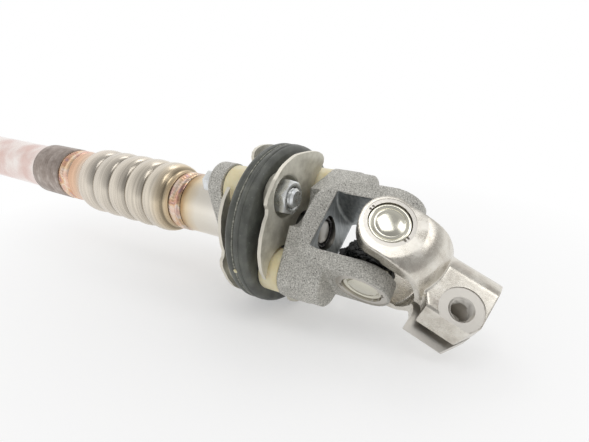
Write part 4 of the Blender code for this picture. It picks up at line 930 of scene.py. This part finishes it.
for number, (name, axis, flip) in enumerate((
        ("flange_seal_far", "Y", False), ("flange_seal_near", "Y", True), ("clamp_seal_near", "Z", False),
        ("clamp_seal_far", "Z", True))):
    seal = lathe(mm([
        (8.9, 7.6), (9.0, 8.2), (9.3, 8.6), (9.7, 8.6), (10.0, 9.0), (10.3, 9.5), (10.6, 9.3), (10.7, 8.9),
        (10.7, 5.3), (8.9, 5.3)]), 144, closed=True)
    seal = placed(around(seal, smeared(number * 7.0, 0.25 * MM)), axis)
    if flip:
        seal.transform(FLIP)
    fit(piece(f"{name}_greased", seal, "greased_rubber"), JOINT, "cross", "greased_rubber", name)


def lump(centre, size, seed):
    """A blob of old grease: a ball stretched and pushed about by two sizes of noise."""
    bm = bmesh.new()
    bmesh.ops.create_icosphere(bm, subdivisions=5, radius=1.0)
    for vert in bm.verts:
        way = vert.co.normalized()
        push = 1.0 + 0.28 * noise.noise(way * 2.2 + Vector((seed, 0, 0)))
        push += 0.14 * noise.noise(way * 6.0 + Vector((0, seed, 0)))
        vert.co = Vector(centre) * MM + Vector([w * s * MM * push for w, s in zip(way, size)])
    return bm


grease = piece("grease_on_the_cross", lump((-8.3, -9.6, 6.8), (2.7, 2.3, 5.4), 3.0), "greased_rubber")
carve(grease, [lump(*blob) for blob in (
    ((-10.2, -10.2, 2.6), (2.9, 2.0, 2.4), 8.0), ((-5.0, -9.8, 9.4), (4.0, 2.2, 2.8), 5.0),
    ((-7.4, -8.8, 11.0), (1.9, 2.0, 2.2), 11.0), ((-11.4, -11.3, 3.4), (1.8, 1.4, 1.5), 2.0),
    ((0.0, -10.8, 9.0), (4.6, 1.9, 3.0), 4.0), ((4.4, -10.4, 8.0), (2.8, 1.8, 3.2), 9.0))], "UNION")
fit(grease, JOINT, "cross", "greased_rubber", sharp=180.0)
crumb = piece("crumb_of_flash", lump((-0.6, -31.9, 11.0), (1.0, 0.7, 0.8), 6.0), "natural_nylon")
fit(crumb, COUPLING, "shaft", "coupling_rubber", sharp=180.0)

CUP_LINE = mm([
    (17.9, 0.0), (17.9, 7.3), (11.0, 7.3), (11.0, 7.85), (11.15, 8.0), (18.8, 8.0), (19.2, 7.92), (19.5, 7.65),
    (19.6, 7.3), (19.58, 6.95), (19.45, 6.65), (19.25, 6.45), (19.15, 6.2), (19.22, 6.0), (19.38, 5.82),
    (19.47, 5.6), (19.45, 5.4), (19.5, 5.2), (19.68, 4.6), (19.85, 3.8), (19.97, 2.8), (20.06, 1.6),
    (20.1, 0.6), (20.1, 0.0)])
for name, place, body, axis, flip in (
        ("flange_cup_far", COUPLING @ Matrix.Translation(CUP_AXIS), "flange_yoke", "Y", False),
        ("flange_cup_near", COUPLING @ Matrix.Translation(CUP_AXIS), "flange_yoke", "Y", True),
        ("clamp_cup_near", CLAMP, "clamp_yoke", "Z", False), ("clamp_cup_far", CLAMP, "clamp_yoke", "Z", True)):
    cup = placed(lathe(CUP_LINE, 128), axis)
    if flip:
        cup.transform(FLIP)
    fit(piece(f"{name}_drawn", cup, "drawn_cup"), place, body, "drawn_cup", name)

# %% [markdown]
# ## Clamp yoke
# This is the piece nearest the eye. The fork's two arms turn into a barrel that is slit between two jaws. The far
# jaw is longer, so it shows past the near one. A spot face seats the pinch bolt, and its hole keeps its thread.

# %% Clamp yoke
FORK_END, EYE_R, BACK_Y, FRONT_Y, FACE_Z = 27.2 * MM, 11.0 * MM, 10.4 * MM, -12.8 * MM, 20.1 * MM
CLAMP_START, CLAMP_END, BARREL_R, CHEEK_Z = 20.0 * MM, 45.0 * MM, 11.0 * MM, 10.8 * MM
JAWS = {"near": (25.4 * MM, -19.4 * MM), "far": (23.4 * MM, -23.4 * MM)}
PINCH, PINCH_CREST, PINCH_ROOT, PINCH_HALF = (36.3 * MM, -9.3 * MM, 0.0), 4.35 * MM, 3.75 * MM, 12 * MM
PINION_R, SLOT_HALF = 8.0 * MM, 1.8 * MM
CORNER_Y, CORNER_SLOPE, OVER = -11.4 * MM, 0.58, 1.0 * MM
SHOULDER = (
    (21.2, 12.0), (20.5, 13.0), (20.25, 13.9), (20.0, 15.2), (19.6, 16.6), (19.1, 17.9), (18.3, 19.4),
    (17.3, 20.7), (16.0, 22.0), (14.0, 23.3), (12.0, 24.4), (10.0, 25.3), (8.0, 26.0), (6.0, 26.5), (4.0, 26.9),
    (2.0, 27.1), (0.0, 27.2))

outline = arc((0.0, 0.0), EYE_R, 96.0, 180.0, 24)
outline += [(EYE_R * math.cos(math.radians(t)), -FRONT_Y * math.sin(math.radians(t))) for t in range(184, 272, 4)]
outline += [(FORK_END, FRONT_Y), (FORK_END, BACK_Y), (3.3 * MM, BACK_Y)]
solid = placed(prism(outline, -20.3 * MM, 20.3 * MM), "Z")
fork = piece("clamp_yoke_forged", solid, "bright_forging", "machined_cut")
skin = mm([(-z, r) for z, r in SHOULDER[:-1]] + list(reversed(SHOULDER)))
envelope = lathe([(skin[0][0], 0.0)] + skin + [(skin[-1][0], 0.0)], 96)
carve(fork, [placed(envelope, "Z")], "INTERSECT")


def jaw(name, side):
    """Half of the clamp: its cross section along the barrel, cut to the side view of its jaw."""
    jaw_x, jaw_y = JAWS[name]
    cheek_end = jaw_y + 4.6 * MM
    tip = [(cheek_end, CHEEK_Z), (cheek_end - 0.8 * MM, 10.5 * MM), (cheek_end - 1.3 * MM, 9.9 * MM)]
    line = arc((0.0, 0.0), BARREL_R, 0.0, 78.0, 20) + tip + [(jaw_y, -0.05 * MM), (BARREL_R, -0.05 * MM)]
    if side < 0:
        line = [(u, -v) for u, v in reversed(line)]
    body = piece(f"{name}_half", prism(line, CLAMP_START - OVER, CLAMP_END + OVER))
    low = jaw_y - OVER
    corner = CLAMP_END + CORNER_SLOPE * (low - CORNER_Y)
    profile = [(CLAMP_START, BARREL_R + OVER), (CLAMP_START, -10.2 * MM), (jaw_x - 2.5 * MM, -11.2 * MM),
               (jaw_x, -15.0 * MM), (jaw_x, low), (corner, low), (CLAMP_END, CORNER_Y),
               (CLAMP_END, BARREL_R + OVER)]
    carve(body, [placed(prism(profile, -12.0 * MM, 12.0 * MM), "Z")], "INTERSECT")
    bm = bmesh.new()
    bm.from_mesh(body.data)
    bpy.data.objects.remove(body)
    return bm


carve(fork, [jaw("near", 1), jaw("far", -1)], "UNION")
carve(fork, [ball(THROAT_R, ARM_INSIDE, "Z", steps=96)])
forge(fork, 0.42 * MM, 5)
slot = box((16 * MM, -28 * MM, -SLOT_HALF), (48 * MM, 0.0, SLOT_HALF))
cuts = [rod(CUP_BORE_R, -30 * MM, 30 * MM, "Z", steps=96), slot, rod(PINION_R, 16 * MM, 48 * MM, steps=128),
        box((CLAMP_END - 0.25 * MM, -30 * MM, -20 * MM), (CLAMP_END + 5 * MM, 20 * MM, 20 * MM))]
cuts += [rod(8.2 * MM, low, high, "Z", PINCH, 96) for low, high in both_sides(10.3 * MM, 14.3 * MM)]
thread = [(-PINCH_HALF, 0.0)] + fine(-PINCH_HALF, PINCH_HALF, PINCH_CREST) + [(PINCH_HALF, 0.0)]
thread = around(lathe(thread, 48), threaded(-PINCH_HALF, PINCH_HALF, PINCH_CREST, PINCH_ROOT))
cuts.append(placed(thread, "Z", PINCH))
cuts.append(placed(lathe(mm([(9.5, 0.0), (9.5, 3.9), (10.6, 5.0), (10.6, 0.0)]), 64), "Z", PINCH))
cuts += [rod(9.6 * MM, low, high, "Z", steps=96) for low, high in both_sides(FACE_Z, 24.0 * MM)]
cuts += stakes("Z", FACE_Z, (0, 0, 0), (-22.0, -12.0, 166.0, 176.0))
carve(fork, cuts, finish="machined_cut")
fit(fork, CLAMP, "clamp_yoke", "bright_forging", "clamp_yoke")

# %% [markdown]
# ## Studio
# The photograph was taken on white, in soft light from above. A big white floor catches a soft shadow. To rays
# from the camera, and to those that metal and glass pass on, it also shines plain white away from the shaft, so
# the lamps needn't be raised for a white ground. The world lights the shaft from white near the horizon to grey
# overhead, so that bright metal has something dark to reflect too, and looks white itself.

# %% Camera, floor and lights
PICTURE_WIDTH, FOCAL_PIXELS, SENSOR, CAMERA_TILT, CAMERA_TURN = 589.0, 498.15, 36.0, 20.86, 33.14
camera = bpy.data.cameras.new("camera")
camera.lens, camera.sensor_width, camera.clip_start = FOCAL_PIXELS * SENSOR / PICTURE_WIDTH, SENSOR, 5.0 * MM
eye = bpy.data.objects.new("camera", camera)
eye.location = (COUPLING_X + 115.41 * MM, -167.55 * MM, 78.18 * MM)
eye.rotation_euler = (math.radians(90.0 - CAMERA_TILT), 0.0, math.radians(CAMERA_TURN))
bpy.context.scene.collection.objects.link(eye)
bpy.context.scene.camera = eye

FLOOR_Z = cad_box[0].z
tree, place = new_finish("white_floor", "white_floor", 0.6, 0.0, "#ffffff")
shader = tree.nodes["Principled BSDF"]
shader.inputs["Specular IOR Level"].default_value = 0.1
seen = add(tree, "LightPath").outputs
lit = add(tree, "Math", {"operation": "ADD"}, {0: seen["Is Camera Ray"], 1: seen["Is Glossy Ray"]})
lit = add(tree, "Math", {"operation": "ADD", "use_clamp": True}, {0: lit, 1: seen["Is Transmission Ray"]})
reach = add(tree, "VectorMath", {"operation": "DISTANCE", 1: (0.30, 0.0, FLOOR_Z)}, {0: place})
fade = add(tree, "MapRange", {"From Min": 0.04, "From Max": 0.22, "To Min": 0.40, "To Max": 1.0}, {"Value": reach})
share = add(tree, "Math", {"operation": "MULTIPLY"}, {0: lit, 1: fade})
paper = add(tree, "Emission", {"Color": linear("#ffffff"), "Strength": 1.0})
mixed = add(tree, "MixShader", None, {0: share, 1: shader, 2: paper})
tree.links.new(mixed.outputs[0], tree.nodes["Material Output"].inputs["Surface"])
bm = bmesh.new()
bmesh.ops.create_grid(bm, x_segments=1, y_segments=1, size=40.0)
bmesh.ops.translate(bm, vec=(0, 0, FLOOR_Z), verts=bm.verts)
floor_mesh = bpy.data.meshes.new("floor")
bm.to_mesh(floor_mesh)
bm.free()
floor_mesh.materials.append(FINISH["white_floor"])
floor = bpy.data.objects.new("floor", floor_mesh)
bpy.context.scene.collection.objects.link(floor)

world = bpy.data.worlds.new("studio")
bpy.context.scene.world = world
world.use_nodes = True
tree = world.node_tree
way = add(tree, "TexCoord").outputs["Generated"]
room = add(tree, "VectorMath", {"operation": "DOT_PRODUCT", 1: (0.35, -0.45, 0.82)}, {0: way})
sky = add(tree, "ValToRGB", {"stops": [
    (0.0, "#ffffff"), (0.15, "#ffffff"), (0.40, "#dcdcdc"), (0.70, "#c2c2c2"), (1.0, "#a0a0a0")]}, {"Fac": room})
light = tree.nodes["Background"]
light.inputs["Strength"].default_value = 1.0
tree.links.new(sky.outputs["Color"], light.inputs["Color"])
white = add(tree, "Background", {"Color": linear("#ffffff"), "Strength": 1.0})
seen = add(tree, "LightPath").outputs["Is Camera Ray"]
mixed = add(tree, "MixShader", None, {0: seen, 1: light, 2: white})
tree.links.new(mixed.outputs[0], tree.nodes["World Output"].inputs["Surface"])


MIDDLE = Vector((0.28, 0.0, 0.0))
for name, place, size, power in (
        ("key", (0.44, -0.14, 0.58), (0.24, 0.34), 0.56), ("fill", (0.72, 0.03, 0.46), (0.18, 0.22), 0.25),
        ("back", (0.05, 0.35, 0.60), (0.30, 0.20), 0.35)):
    lamp = bpy.data.lights.new(name, "AREA")
    lamp.shape, lamp.size, lamp.size_y, lamp.energy = "RECTANGLE", size[0], size[1], power
    obj = bpy.data.objects.new(name, lamp)
    obj.location = place
    obj.rotation_euler = (MIDDLE - Vector(place)).to_track_quat("-Z", "Y").to_euler()
    bpy.context.scene.collection.objects.link(obj)
bpy.context.scene.view_settings.view_transform = "Standard"
print("camera:", [round(v, 4) for v in eye.location])
